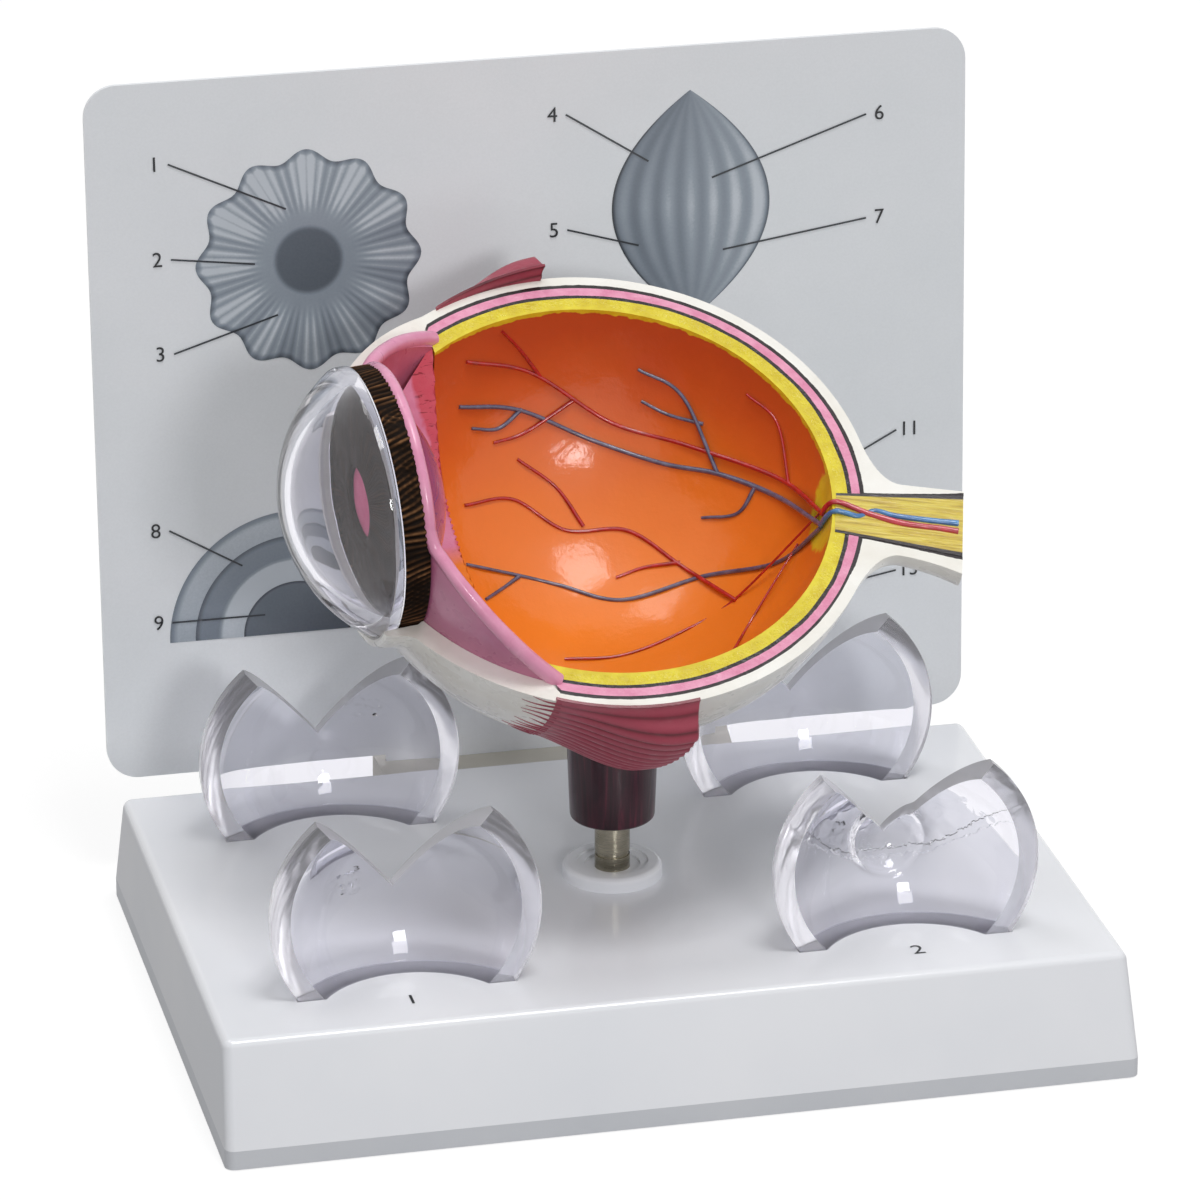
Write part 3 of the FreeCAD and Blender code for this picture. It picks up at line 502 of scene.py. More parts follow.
def orange_tone(add, place):
    """The cavity's orange for a place, with painted light and shade by height in the world: a darker
    red-brown high on the far wall as painted shade, and bright orange low on the near one as painted light."""
    # painted light and shade: the colour goes from bright orange low down to red-brown high up, by height in
    # the world
    height = add("SeparateXYZ", world_millimetres(add)).outputs["Z"]
    drift = add("MapRange", frayed(add, height, place, 1 / 18.0, 14.0), 66.0, 118.0)
    return add("ValToRGB", drift, stops=[(0.0, "#F0861F"), (0.4, "#E87A1E"), (0.7, "#D86423"),
                                         (1.0, "#C85329")])


def orange_enamel():
    """Orange enamel under thick varnish, with brush ripples that break up the reflections. The yellow of
    the layer behind is brushed over the cut edge, a little way down the wall, and in a disc round the
    nerve's entry."""
    material, add = new_material("orange enamel")
    place = eye_millimetres(add)
    level = frayed(add, add("SeparateXYZ", place).outputs["Z"], place, 0.45, 1.6)
    spilled = add("MapRange", level, CUT - 0.1, CUT + 0.1)
    gap = add("VectorMath", place, NERVE_ENTRY, operation="DISTANCE").outputs["Value"]
    disc = add("MapRange", frayed(add, gap, place, 0.45, 2.5), 8.8, 9.6, 1.0, 0.0)
    yellow = add("Math", add("Math", spilled, disc, operation="MAXIMUM"), from_zone(add, CUT_FACE),
                 operation="MAXIMUM")
    ripples = add("TexNoise", Vector=place, Scale=1 / 1.1, Detail=3.0, Roughness=0.65)
    waves = add("TexNoise", Vector=place, Scale=1 / 9.0, Detail=1.0)
    wavy = add("Bump", Strength=0.6, Distance=0.5 * MM, Height=waves)
    normal = add("Bump", Strength=0.9, Distance=0.05 * MM, Height=ripples, Normal=wavy)
    colour = add("Mix", yellow, orange_tone(add, place), tinted(add, place, *YELLOW, 3.0, 1.3),
                 data_type="RGBA")
    surface(add, Base_Color=colour, Roughness=0.4, Normal=normal, IOR=RESIN_IOR, Specular_IOR_Level=0.3,
            Coat_Weight=0.5, Coat_Roughness=0.05, Coat_Normal=normal)
    return material


def pink_enamel():
    """Pink enamel of the front wall: pale pink on the cut edge, with painted shade that turns the outside a
    dusky purple-pink and the inside a deeper rose."""
    material, add = new_material("pink enamel")
    place = eye_millimetres(add)
    # painted shade: the outside's dusky purple-pink and the inside's deeper rose are darker copies of the
    # pale pink paint
    outside = tinted(add, place, "#BC678C", "#CB779B", 7.0)
    inside = tinted(add, place, "#C2647F", "#D27C96", 5.0)
    edge = tinted(add, place, "#DE88AC", "#EBA0BF", 4.0)
    face = add("Mix", from_zone(add, INNER_FACE), outside, inside, data_type="RGBA")
    colour = add("Mix", from_zone(add, CUT_FACE), face, edge, data_type="RGBA")
    hand_painted(add, colour, place, roughness=0.32, stroke=3.5, depth=0.18, gloss=0.45)
    return material


def streaked_enamel():
    """Rose enamel of the ciliary ring: pale pink next to the lens, then a red band with dark red brush
    streaks that run along the fibres, square to the layers' front ends. The near part is orange, as the
    cavity's wall, with the same painted light and shade by height."""
    material, add = new_material("streaked rose enamel")
    place = eye_millimetres(add)
    split = add("SeparateXYZ", place).outputs
    reddened = add("MapRange", frayed(add, split["X"], place, 0.4, 2.0), -25.2, -24.4)
    stretched = add("Mapping", place, Scale=(0.35, 1.6, 1.6))
    fibres = add("TexNoise", Vector=stretched, Scale=1.0, Detail=3.0, Roughness=0.6, Distortion=0.6)
    red = add("Mix", add("MapRange", fibres, 0.6, 0.66), "#C64C5C", "#8A2632", data_type="RGBA")
    rose = add("Mix", reddened, tinted(add, place, "#CC6F8C", "#DC8AA6", 4.0), red, data_type="RGBA")
    near = add("MapRange", split["Y"], 0.0, -4.0)
    colour = add("Mix", near, rose, orange_tone(add, place), data_type="RGBA")
    hand_painted(add, colour, place, roughness=0.55, stroke=2.2, depth=0.3, gloss=0.0, shine=0.15)
    return material


def iris_enamel():
    """Dark brown enamel on moulded ridges: almost black in the grooves, umber on the crests, a satin
    varnish. The plate behind the dome is greyer, and the pupil's disc is rose."""
    material, add = new_material("dark brown enamel")
    place = eye_millimetres(add)
    height = frayed(add, add("Attribute", attribute_name="across").outputs["Fac"], place, 0.8, 0.3, 3.0)
    crest = add("MapRange", height, 0.15, 1.05)
    side = add("ValToRGB", crest, stops=[(0.0, "#090504"), (0.5, "#1C120B"), (0.8, "#4A3220"),
                                         (1.0, "#7C583A")])
    plate = add("ValToRGB", crest, stops=[(0.0, "#120B07"), (0.55, "#24160F"), (1.0, "#4A3325")])
    pupil = tinted(add, place, "#C05A7C", "#D0708E", 3.0)
    face = add("Mix", from_zone(add, INNER_FACE), side, plate, data_type="RGBA")
    colour = add("Mix", from_zone(add, CUT_FACE), face, pupil, data_type="RGBA")
    hand_painted(add, colour, place, roughness=0.65, stroke=2.5, depth=0.04, gloss=0.0, shine=0.05)
    return material


def nerve_enamel():
    """Yellow enamel of the nerve, dragged lengthwise with a dry brush: fine fibres in relief, ochre in
    the furrows, and a dark line round the cut."""
    material, add = new_material("yellow fibre enamel")
    place = eye_millimetres(add)
    turned = add("Mapping", place, Rotation=(0.0, 0.0, -NERVE_ANGLE))
    stretched = add("Mapping", turned, Scale=(0.09, 1.5, 1.5))
    fibres = add("TexNoise", Vector=stretched, Scale=1.0, Detail=3.0, Roughness=0.55, Distortion=0.7)
    paint = add("ValToRGB", fibres, stops=[(0.3, "#B08F2C"), (0.5, "#D8BE3C"), (0.72, "#E4D358")])
    line = add("MapRange", add("Attribute", attribute_name="across").outputs["Fac"], 0.86, 0.89)
    surface(add, Base_Color=add("Mix", line, paint, LINE_COLOUR, data_type="RGBA"), Roughness=0.3,
            IOR=RESIN_IOR, Normal=add("Bump", Strength=1.0, Distance=0.5 * MM, Height=fibres),
            Coat_Weight=0.6, Coat_Roughness=0.1)
    return material


def vessel_enamel(name, dark, light):
    """Thick enamel piped on as a raised line: rounded and glossy, drifting between two close tones in
    patches.
    """
    material, add = new_material(name)
    place = eye_millimetres(add)
    colour = tinted(add, place, dark, light, 2.0, 1.4)
    hand_painted(add, colour, place, roughness=0.2, stroke=1.0, depth=0.1, gloss=0.8)
    return material


def muscle_enamel():
    """Crimson enamel over grooved resin: wine red in the grooves, rose on the ridges and paler at the
    thin front."""
    material, add = new_material("crimson enamel")
    place = eye_millimetres(add)
    ridge = add("ValToRGB", add("Attribute", attribute_name="across").outputs["Fac"],
                stops=[(0.0, "#470D1B"), (0.35, "#711B2C"), (0.6, "#8E2B3F"), (1.0, "#A54053")])
    front = add("MapRange", add("SeparateXYZ", place).outputs["X"], -24.0, -14.0, 0.35, 0.0)
    hand_painted(add, add("Mix", front, ridge, "#BE6073", data_type="RGBA"), place, roughness=0.4,
                 stroke=1.8, depth=0.2, gloss=0.2, shine=0.3)
    return material


def maroon_resin():
    """Maroon polyurethane resin, cast: deep wine colour with faint vertical flow lines under a glossy
    skin."""
    material, add = new_material("maroon cast resin")
    stretched = add("Mapping", world_millimetres(add), Scale=(0.45, 0.45, 0.035))
    flow = add("TexNoise", Vector=stretched, Scale=1.0, Detail=4.0, Roughness=0.6, Distortion=1.8)
    colour = add("ValToRGB", flow, stops=[(0.35, "#220A14"), (0.55, "#37101E"), (0.72, "#561C2E")])
    surface(add, Base_Color=colour, Roughness=0.3, IOR=RESIN_IOR, Specular_IOR_Level=0.3,
            Normal=add("Bump", Strength=0.5, Distance=0.12 * MM, Height=flow),
            Coat_Weight=0.25, Coat_Roughness=0.08)
    return material


def laminated_card():
    """Printed card sealed in clear film: pale blue-grey ink with a fine print grain and cloudy patches,
    and the film's soft, slightly wavy gloss."""
    material, add = new_material("laminated card")
    place = world_millimetres(add)
    clouds = tinted(add, place, "#E2E6EA", "#ECEEF2", 45.0)
    speck = add("MapRange", add("TexNoise", Vector=place, Scale=2.2, Detail=2.0), 0.3, 0.7, 0.985, 1.015)
    grain = add("CombineXYZ", speck, speck, speck)
    waves = add("TexNoise", Vector=place, Scale=1 / 35.0, Detail=1.0)
    colour = add("Mix", 1.0, clouds, grain, data_type="RGBA", blend_type="MULTIPLY")
    surface(add, Base_Color=colour, Roughness=0.38, IOR=RESIN_IOR, Coat_Weight=0.35, Coat_Roughness=0.14,
            Normal=add("Bump", Strength=0.4, Distance=0.3 * MM, Height=waves))
    return material


def motif_ink():
    """Blue-grey print: soft tones from slate to pale steel, given for each point by the drawing's own
    shading."""
    material, add = new_material("blue-grey print")
    shade = frayed(add, add("Attribute", attribute_name="across").outputs["Fac"], world_millimetres(add),
                   2.5, 0.08)
    colour = add("ValToRGB", shade, stops=[(0.04, "#23282F"), (0.3, "#4A525D"), (0.6, "#727C88"),
                                           (0.85, "#959FAA"), (1.04, "#C3CAD2")])
    surface(add, Base_Color=colour, Roughness=0.35, IOR=RESIN_IOR, Coat_Weight=0.35, Coat_Roughness=0.14)
    return material


def black_ink():
    """Black screen print: nearly black, thin, a little uneven in its gloss."""
    material, add = new_material("black print")
    grain = add("TexNoise", Vector=world_millimetres(add), Scale=3.0, Detail=2.0)
    surface(add, Base_Color=add("Mix", grain, "#101114", "#24262B", data_type="RGBA"), IOR=RESIN_IOR,
            Roughness=add("MapRange", grain, 0.3, 0.7, 0.3, 0.45))
    return material


# -------------------- pieces: eye shell


def half_turn(radius, columns):
    """Angles about the X axis below the cut for circles of the given radii: from -Y, under the eye, to
    +Y."""
    lift = np.arcsin(np.clip(-CUT / np.maximum(radius, 1e-6), 0, 1))
    share = np.linspace(-1, 1, columns)
    return -math.pi / 2 + share * (math.pi / 2 - lift)[:, None]


def core_radius(along):
    """Radius of the nerve's yellow core: it widens steadily from the cavity to the nerve's end."""
    return 4.2 + 2.7 * (np.asarray(along, float) - CORE_ROOT) / (NERVE_END - CORE_ROOT)


def nerve_sleeve(beta, along):
    """Radius of the white sleeve round the nerve: on the near side it flares with the square of the
    distance."""
    flare = 2.6 * (1 - np.cos(beta)) / 2 * ((along - 50) / 14) ** 2
    return np.minimum(SLEEVE_RADIUS + flare, SLEEVE_LIMIT)


def meridian(beta, radius):
    """For half planes round the nerve's axis: the height of the ball's middle over the axis, and its
    circle there."""
    return -CUT * np.sin(beta), np.sqrt(radius ** 2 - (CUT * np.cos(beta)) ** 2)


def meridian_points(along, out, beta):
    """Points at a distance along the nerve's axis and out from it, in the half plane of angle beta."""
    direction = np.cos(beta)[..., None] * NERVE_ACROSS + np.sin(beta)[..., None] * UP
    return np.array([0, 0, CUT]) + along[..., None] * NERVE_ALONG + out[..., None] * direction


def ball_rows(beta, radius, first_out, limit_x, rows):
    """Rows along a ball from a distance first_out off the nerve's axis to the plane x = limit_x."""
    middle, circle = meridian(beta, radius)
    first = np.arcsin((first_out - middle) / circle)
    a = circle * math.cos(NERVE_ANGLE)
    b = circle * np.cos(beta) * NERVE_ACROSS[0]
    c = limit_x - middle * np.cos(beta) * NERVE_ACROSS[0]
    last = np.arctan2(b, a) + np.arccos(c / np.hypot(a, b))
    angle = first + (last - first) * np.linspace(0, 1, rows)[:, None]
    return meridian_points(circle * np.cos(angle), middle + circle * np.sin(angle), beta)


def lip_rows(last, profile):
    """Rows that follow the last one, at its angles about the X axis, through the profile's points (x,
    radius)."""
    x, radius = np.array(profile).T
    span = half_turn(radius, 2)[:, 1] + math.pi / 2
    own = np.arctan2(last[:, 2], last[:, 1]) + math.pi / 2
    share = own / np.abs(own).max()
    return around(x[:, None], radius[:, None], -math.pi / 2 + span[:, None] * share)


def raise_far_side(points):
    """In front of the layers the shell's far half rises to the plane z = CUT + WHITE_SLOPE (LAYERS_FRONT
    - x): its points spread out in angle about the X axis, between the lowest meridian and that plane."""
    x, radius = points[..., 0], np.hypot(points[..., 1], points[..., 2])
    angle = np.arctan2(points[..., 2], points[..., 1]) + math.pi / 2
    rise = WHITE_SLOPE * np.maximum(LAYERS_FRONT - x, 0.0)
    before, after = (math.pi / 2 + np.arcsin(np.clip(z / radius, -1, 1)) for z in (CUT, CUT + rise))
    return around(x, radius, np.where(angle > 0, angle * after / before, angle) - math.pi / 2)


def shell_outside(beta):
    """Rows from the nerve's end along its sleeve, through the fillet, whose corner lies where the
    sleeve's line meets the ball's tangent, then round the ball and over the rounded lip that holds the
    iris."""
    along = np.linspace(NERVE_END, SLEEVE_ROOT, 12)[:, None]
    sleeve = meridian_points(along, nerve_sleeve(beta, along), beta)
    middle, circle = meridian(beta, EYE_RADIUS)
    slope = (FILLET_ROOT - middle) / circle
    start, end = nerve_sleeve(beta, SLEEVE_ROOT), circle * np.sqrt(1 - slope ** 2)
    corner = end + (FILLET_ROOT - start) * slope / np.sqrt(1 - slope ** 2)
    t = np.linspace(0, 1, 12)[1:-1, None]
    fillet = meridian_points(bent(SLEEVE_ROOT, corner, end, t), bent(start, start, FILLET_ROOT, t), beta)
    ball = ball_rows(beta, EYE_RADIUS, FILLET_ROOT, -40.97, 100)
    lip = lip_rows(ball[-1], [(-41.6, 26.6), (-43.0, 25.9), (-45.2, 25.6), (-46.4, 25.2), (-46.7, 24.5),
                              (-46.5, 23.98)])
    return np.concatenate([sleeve, fillet, ball, lip])


def shell_inside(beta):
    """Rows from the nerve's end along the core's bore, round the ball that the layers lie in, with a
    small step in to the pink wall's ball in front of them, and along the iris's seat."""
    along = np.linspace(NERVE_END, BORE_ROOT, 12)[:, None]
    bore = meridian_points(along, core_radius(along) + 0 * beta, beta)
    room = ball_rows(beta, CHOROID, core_radius(BORE_ROOT), IRIS_BACK, 110)
    shrink = 1 - (1 - WALL_OUTSIDE / CHOROID) * smooth_step(LAYERS_FRONT + 0.4, LAYERS_FRONT, room[..., 0])
    radius = np.sqrt(np.maximum((CHOROID * shrink) ** 2 - room[..., 0] ** 2, 1.0))
    room = around(room[..., 0], radius, np.arctan2(room[..., 2], room[..., 1]))
    room[:, (0, -1), 2] = CUT
    seat = lip_rows(room[-1], [(-40.2, 23.75), (-41.4, 23.8), (-43.0, 23.85), (-45.2, 23.9), (-46.0, 23.93),
                               (-46.5, 23.98)])
    return np.concatenate([bore, room, seat])


def sclera_piece(material):
    """White shell between an outer and an inner grid whose rows pair up, so that its cut is one flat
    face."""
    beta = np.linspace(math.pi, 2 * math.pi, 145)
    patches = slab(raise_far_side(shell_outside(beta)), raise_far_side(shell_inside(beta)))
    build("eye_white_shell", "eye", patches, ["sclera"], material, sharp=35)


def border_surface(radius, seed, wave):
    """A wavy part of a ball behind the layers' front ends; two layers that touch share the same one."""
    tilt = np.linspace(math.acos(LAYERS_FRONT / radius), math.asin(-CUT / radius), 110)
    x, circle = radius * np.cos(tilt), radius * np.sin(tilt)
    points = around(x[:, None], circle[:, None], half_turn(circle, 150))
    waves = wave * wobble(points[..., 0] / 3.5, (points[..., 1] + 1.7 * points[..., 2]) / 3.5, seed)
    points[..., :2] *= (1 + waves / radius)[..., None]
    points[0, :, 0] = LAYERS_FRONT
    return points


def layer_pieces(choroid_material, retina_material, lining_material):
    """Three skins inside the white shell. Each lies between two balls and ends flat on the cut; the balls
    between two layers are wavy by up to 0.22 mm."""
    surfaces = [border_surface(radius, seed, wave) for radius, seed, wave in
                ((CHOROID, 1, 0.0), (RETINA, 2, 0.22), (LINING, 3, 0.22), (CAVITY, 4, 0.0))]
    names = (("pink_layer", "choroid", "choroid_paint", choroid_material),
             ("yellow_layer", "retina", "retina_paint", retina_material),
             ("orange_cavity", "cavity_lining", "cavity_orange", lining_material))
    for outer, inner, (name, node, slot, material) in zip(surfaces, surfaces[1:], names):
        build(name, "eye", slab(outer, inner), [node], material, sharp=50)


def front_wall_piece(material):
    """Pink wall between layers and iris: a skin inside a ball, cut by a plane that rises forward, steeper
    on the near side. A rounded bead follows the cut edge and goes on over the iris's back edge."""
    x = np.linspace(LAYERS_FRONT, IRIS_BACK, 40)
    outside = np.sqrt(WALL_OUTSIDE ** 2 - x ** 2)
    share = np.linspace(-1, 1, 181)
    grids = []
    for circle in (outside, outside - np.linspace(2.9, 2.2, 40)):
        near, far = (math.pi / 2 + np.arcsin(np.clip((CUT + slope * (LAYERS_FRONT - x)) / circle, -1, 1))
                     for slope in (1.0, WALL_SLOPE))
        reach = np.where(share < 0, near[:, None], far[:, None])
        grids.append(around(x[:, None], circle[:, None], -math.pi / 2 + share * reach))
    build("pink_wall", "eye", slab(*grids) + [bead_patch()], ["front_wall"], material,
          sharp=50)


def bead_patch():
    """A cord of pale pink paint along the wall's cut edge: up its near side, over the iris's back edge,
    down its far side. The sides lie 1.1 mm inside the wall's outer ball, at the height where the rising
    planes cut it."""
    x = np.linspace(LAYERS_FRONT + 0.6, IRIS_BACK + 0.8, 24)
    radius = np.sqrt(WALL_OUTSIDE ** 2 - x ** 2) - 1.1
    sides = []
    for slope, side in ((1.0, -1), (WALL_SLOPE, 1)):
        height = CUT + slope * (LAYERS_FRONT - x)
        sides.append(np.stack([x, side * np.sqrt(radius ** 2 - height ** 2), height], 1))
    first, last = (math.atan2(side[-1, 2], side[-1, 1]) for side in sides)
    top = around(IRIS_BACK + 0.3, 22.7, np.linspace(first - 0.12, last + 0.12, 40))
    steps = 400
    path = through(np.concatenate([sides[0], top, sides[1][::-1]]), steps)
    lumps = 0.08 * wobble(np.linspace(0, 24, steps), 0.0, 21)
    thick = 1.5 - 0.35 * np.sin(np.linspace(0, math.pi, steps)) + lumps
    return sheet(tube(path, thick, 16), CUT_FACE)


def ring_rows(profile):
    """Rows of the ciliary ring: a profile (x, radius), each point swept to both sides of the ring's
    lowest point as far as the cut, 16.1 mm under the axis and tipped 14 degrees toward the near side."""
    x, radius = through(profile, 60).T
    middle = -math.pi / 2 + math.radians(14.0)
    reach = np.arccos(np.clip(16.1 / radius, -1, 1))
    return around(x[:, None], radius[:, None], middle + np.linspace(-1, 1, 161) * reach[:, None])


def ciliary_piece(material):
    """Red wedge between the layers' front ends and the lens, with 90 fine folds to a turn that run toward
    the lens."""
    front = ring_rows([(-20.5, 38.5), (-29.0, 30.3), (-37.6, 22.0), (-37.6, 19.4), (-37.6, 16.8)])
    back = ring_rows([(-20.5, 38.3), (-21.4, 34.0), (-23.8, 24.4), (-25.5, 17.7), (-25.5, 16.8)])
    angle = np.arctan2(back[..., 2], back[..., 1])
    back[..., 0] += 0.22 * np.cos(90 * angle) * smooth_step(0, 0.3, np.linspace(0, 1, 60))[:, None]
    build("ciliary_ring_painted", "eye", slab(front, back), ["ciliary_ring"], material,
          sharp=40)


# -------------------- pieces: iris, lens and cornea


def iris_piece(material, ridges):
    """Dark ring with a plate that rises to the pupil. Its profile is swept once round the axis. Irregular
    ridges run a little aslant along the ring's side and fan out over the plate, and a lens-shaped disc
    fills the pupil."""
    side = np.array([(-39.3, 21.9), (-39.3, 23.45), (-39.5, 23.65), (-40.5, 23.7), (-41.5, 23.7),
                     (-42.5, 23.7), (-43.3, 23.7), (-43.65, 23.6), (-43.8, 23.3), (-43.8, 22.3),
                     (-43.6, 22.0), (-42.9, 21.8)])
    plate_radius = np.linspace(21.2, 6.6, 24)
    plate = np.stack([-44.3 + 1.7 * (plate_radius - 6.4) / 17.3, plate_radius], 1)
    back = np.array([(-44.1, 6.4), (-42.9, 6.4), (-42.6, 6.8), (-41.9, 14.0), (-41.15, 21.7),
                     (-39.3, 21.9)])
    profile = np.concatenate([side, plate, back])
    points = revolve(profile, 1201)
    x, radius = profile.T[:, :, None]
    row = np.arange(len(profile))[:, None]
    on_side = (row > 1) & (row < 9)
    on_plate = (row >= len(side) - 1) & (row < len(side) + len(plate))

    turn = np.linspace(0, 2 * math.pi, 1201)
    drift = wobble(np.cos(turn) * 9, np.sin(turn) * 9, 5)
    height = 0.7 + 0.3 * wobble(np.cos(turn) * 36, np.sin(turn) * 36, 6)
    slant = 1.9 * (x + 41.5) * (1 + 1.2 * drift) + 0.35 * (radius - 20)
    crest = np.sqrt(0.5 + 0.5 * np.cos(ridges * turn + 1.6 * drift + slant)) * height
    points[..., 1:] *= (1 - 0.45 * (1 - crest) * on_side / radius)[..., None]
    points[..., 0] -= 0.06 * (crest - 0.5) * on_plate * smooth_step(6.6, 9.0, radius)
    points[..., 0] += 0.15 * drift * ((row > 6) & (row < 11))

    pupil = revolve([(-43.3, 0.0), (-43.1, 6.45), (-42.9, 6.45), (-42.7, 0.0)], 65)
    split = len(side)
    patches = [sheet(points[:split], OUTER_FACE, crest[:split]),
               sheet(points[split - 1:], INNER_FACE, crest[split - 1:]), sheet(pupil, CUT_FACE)]
    build("iris_ridged", "eye", patches, ["iris"], material, sharp=60)


def ball_profile(vertex, radius, reach, count, side):
    """Profile of a ball from its vertex on the axis out to the distance reach; side is +1 if it opens to
    +X."""
    angle = np.linspace(0, math.asin(reach / radius), count)
    return np.stack([vertex + side * radius * (1 - np.cos(angle)), radius * np.sin(angle)], 1)


def lens_piece(material):
    """Clear lens: a flat front and a steep back meet in a rounded edge."""
    front = ball_profile(-41.3, 36.5, 16.55, 30, 1)
    back = ball_profile(-30.6, 25.5, 16.55, 30, -1)[::-1]
    points = revolve(np.concatenate([front, [(-37.05, 16.7)], back]), 129)
    build("lens_clear", "eye", [sheet(points)], ["lens"], material, sharp=70)


def cornea_piece(material):
    """Clear dome on the front of the eye: outside ball, short rim with rounded edges, inside ball."""
    outer = ball_profile(-59.1, DOME_OUTSIDE, 23.75, 48, 1)
    rim = [(-45.9, 23.86), (-45.6, RIM_RADIUS), (-44.2, RIM_RADIUS), (-43.9, 23.83), (-43.8, 23.6),
           (-43.8, 20.7), (-43.9, 20.5)]
    inner = ball_profile(-56.5, DOME_INSIDE, 20.4, 44, 1)[::-1]
    points = revolve(np.concatenate([outer, rim, inner]), 161)
    build("cornea_clear_dome", "eye", [sheet(points)], ["cornea_dome"], material, sharp=60)


# -------------------- pieces: loose corneas


def dome_skin(turn, reach, ball, centre, bulge):
    """A polar grid of a dome's skin out to the reach of each angle: the distance along the dome's axis is
    a ball's, centre + sqrt(ball^2 - r^2), or that of a smaller ball of radius bulge pushed through its
    middle, whichever is the higher, with a soft corner between them."""
    radius = np.linspace(0, 1, 46)[:, None] * reach
    height = centre + np.sqrt(ball ** 2 - radius ** 2)
    if bulge:
        swollen = 9.5 + np.sqrt(np.maximum(bulge ** 2 - radius ** 2, 0.0))
        higher = 0.5 * (height + swollen + np.sqrt((height - swollen) ** 2 + 0.15))
        height = np.where(radius < bulge, higher, height)
    return around(height, radius, turn)


def loose_cornea(name, node, material, bulges=(0.0, 0.0)):
    """A clear dome that stands on an upright foot, where the frame has its node. Its skins are polar
    grids round the dome's axis that leave out the notch; they end at the rim or at the base's top, and
    the foot goes straight down from there."""
    low, high = measured(node)
    middle, flat_side = round((low[0] + high[0]) / 2, 2), low[1]
    level = BASE_TOP - DOME_AXIS
    rim_inside = math.sqrt(DOME_INSIDE ** 2 - INSIDE_DEPTH ** 2)
    outer_corner, inner_corner = (math.asin(-level / radius) for radius in (RIM_RADIUS, rim_inside))
    stops = [math.pi / 2 + NOTCH_HALF, math.pi + outer_corner, math.pi + inner_corner,
             2 * math.pi - inner_corner, 2 * math.pi - outer_corner, 2.5 * math.pi - NOTCH_HALF]
    counts = (66, 7, 66, 7, 66)
    stretches = [np.linspace(a, b, n + 1)[:-1] for a, b, n in zip(stops, stops[1:], counts)]
    turn = np.concatenate(stretches + [stops[-1:]])
    marks = np.concatenate([[0], np.cumsum(counts)])
    down = np.minimum(np.sin(turn), -1e-6)
    reach = np.where(np.sin(turn) < 0, np.minimum(RIM_RADIUS, level / down), RIM_RADIUS)

    outer = dome_skin(turn, reach, DOME_OUTSIDE, -OUTSIDE_DEPTH, bulges[0])
    inner = dome_skin(turn, np.minimum(reach, rim_inside), DOME_INSIDE, -INSIDE_DEPTH, bulges[1])
    rim, inner_rim, flat = outer[-1], inner[-1], outer[-1] * (0, 1, 1)
    patches = [sheet(outer), sheet(inner[::-1])]
    for a, b in ((0, marks[1]), (marks[4], marks[5])):
        patches.append(strip(rim[a:b + 1], flat[a:b + 1], CUT_FACE))
    for a, b in ((0, marks[2]), (marks[3], marks[5])):
        patches.append(strip(flat[a:b + 1], inner_rim[a:b + 1], CUT_FACE))
    for column in (0, -1):
        patches.append(strip(outer[:, column], inner[:, column], NOTCH_FACE))
        patches.append(strip([rim[column], flat[column]], [inner_rim[column]] * 2, NOTCH_FACE))
    foot_rim = rim[marks[1]:marks[4] + 1]
    foot_outer = np.concatenate([flat[marks[1]][None], foot_rim, flat[marks[4]][None]])
    foot_inner = np.concatenate([flat[marks[1]:marks[2]], inner_rim[marks[2]:marks[3]],
                                 flat[marks[3]:marks[4] + 1]])
    drop = UP * (BASE_TOP - low[2])
    for path in (foot_outer, foot_inner):
        patches.append(strip(path, path - drop, CUT_FACE))
    patches.append(strip(foot_rim - drop, foot_inner - drop, CUT_FACE))

    def place(points):
        """Dome frame to world: its axis points back, its first direction to the left."""
        return np.stack([middle - points[:, 1], flat_side + points[:, 0], DOME_AXIS + points[:, 2]], 1)

    build(name, "loose_" + node, patches, [node], material, place=place, sharp=30)


# -------------------- pieces: nerve, vessels, muscles


def nerve_piece(material):
    """Yellow core of the nerve: half round below, flat on the cut, where it stands 0.1 mm proud of the
    layers and is a little wavy."""
    proud = 0.1
    along = np.linspace(41.75, NERVE_END - 0.05, 70)[:, None]
    radius = core_radius(along)
    below = meridian_points(along, radius, np.linspace(math.pi, 2 * math.pi, 49))
    below[..., 2] += proud
    share = np.linspace(-1, 1, 49)
    middle = np.array([0, 0, CUT + proud]) + along[..., None] * NERVE_ALONG
    top = middle + (radius * share)[..., None] * NERVE_ACROSS
    line = np.broadcast_to(np.abs(share), (70, 49))
    top[..., 2] += 0.12 * wobble(along / 6.0, radius * share / 1.1, 8) * (1 - line ** 6)
    patches = [sheet(below, OUTER_FACE, 1.0), sheet(top, INNER_FACE, line)]
    for row in (0, -1):
        patches.append(strip(below[row], top[row], CUT_FACE, (1.0, line[row])))
    build("nerve_fibres", "eye", patches, ["nerve_core"], material, sharp=45)


def cords_piece(name, node, material, lines, radius, shares, taper):
    """Cords along smooth paths, each with its share of the radius, thinner toward its first point by the
    taper."""
    patches = []
    for k, (line, share) in enumerate(zip(lines, shares)):
        path = through(line, 14 * len(line))
        size = radius * share * np.linspace(taper, 1.0, len(path))
        size = size * (1 + 0.1 * wobble(np.arange(len(path)) / 7.0, np.zeros(len(path)), k))
        patches.append(sheet(tube(path, size)))
    build(name, "eye", patches, [node], material, sharp=70)


def cavity_lines(branches):
    """Points on the cavity's wall from longitudes off the nerve's side and latitudes off the middle, in
    degrees."""
    lines = []
    for branch in branches:
        longitude, latitude = np.radians(np.array(branch, float)).T
        lines.append(41.62 * np.stack([np.cos(latitude) * np.cos(longitude),
                                       np.cos(latitude) * np.sin(longitude), np.sin(latitude)], 1))
    return lines


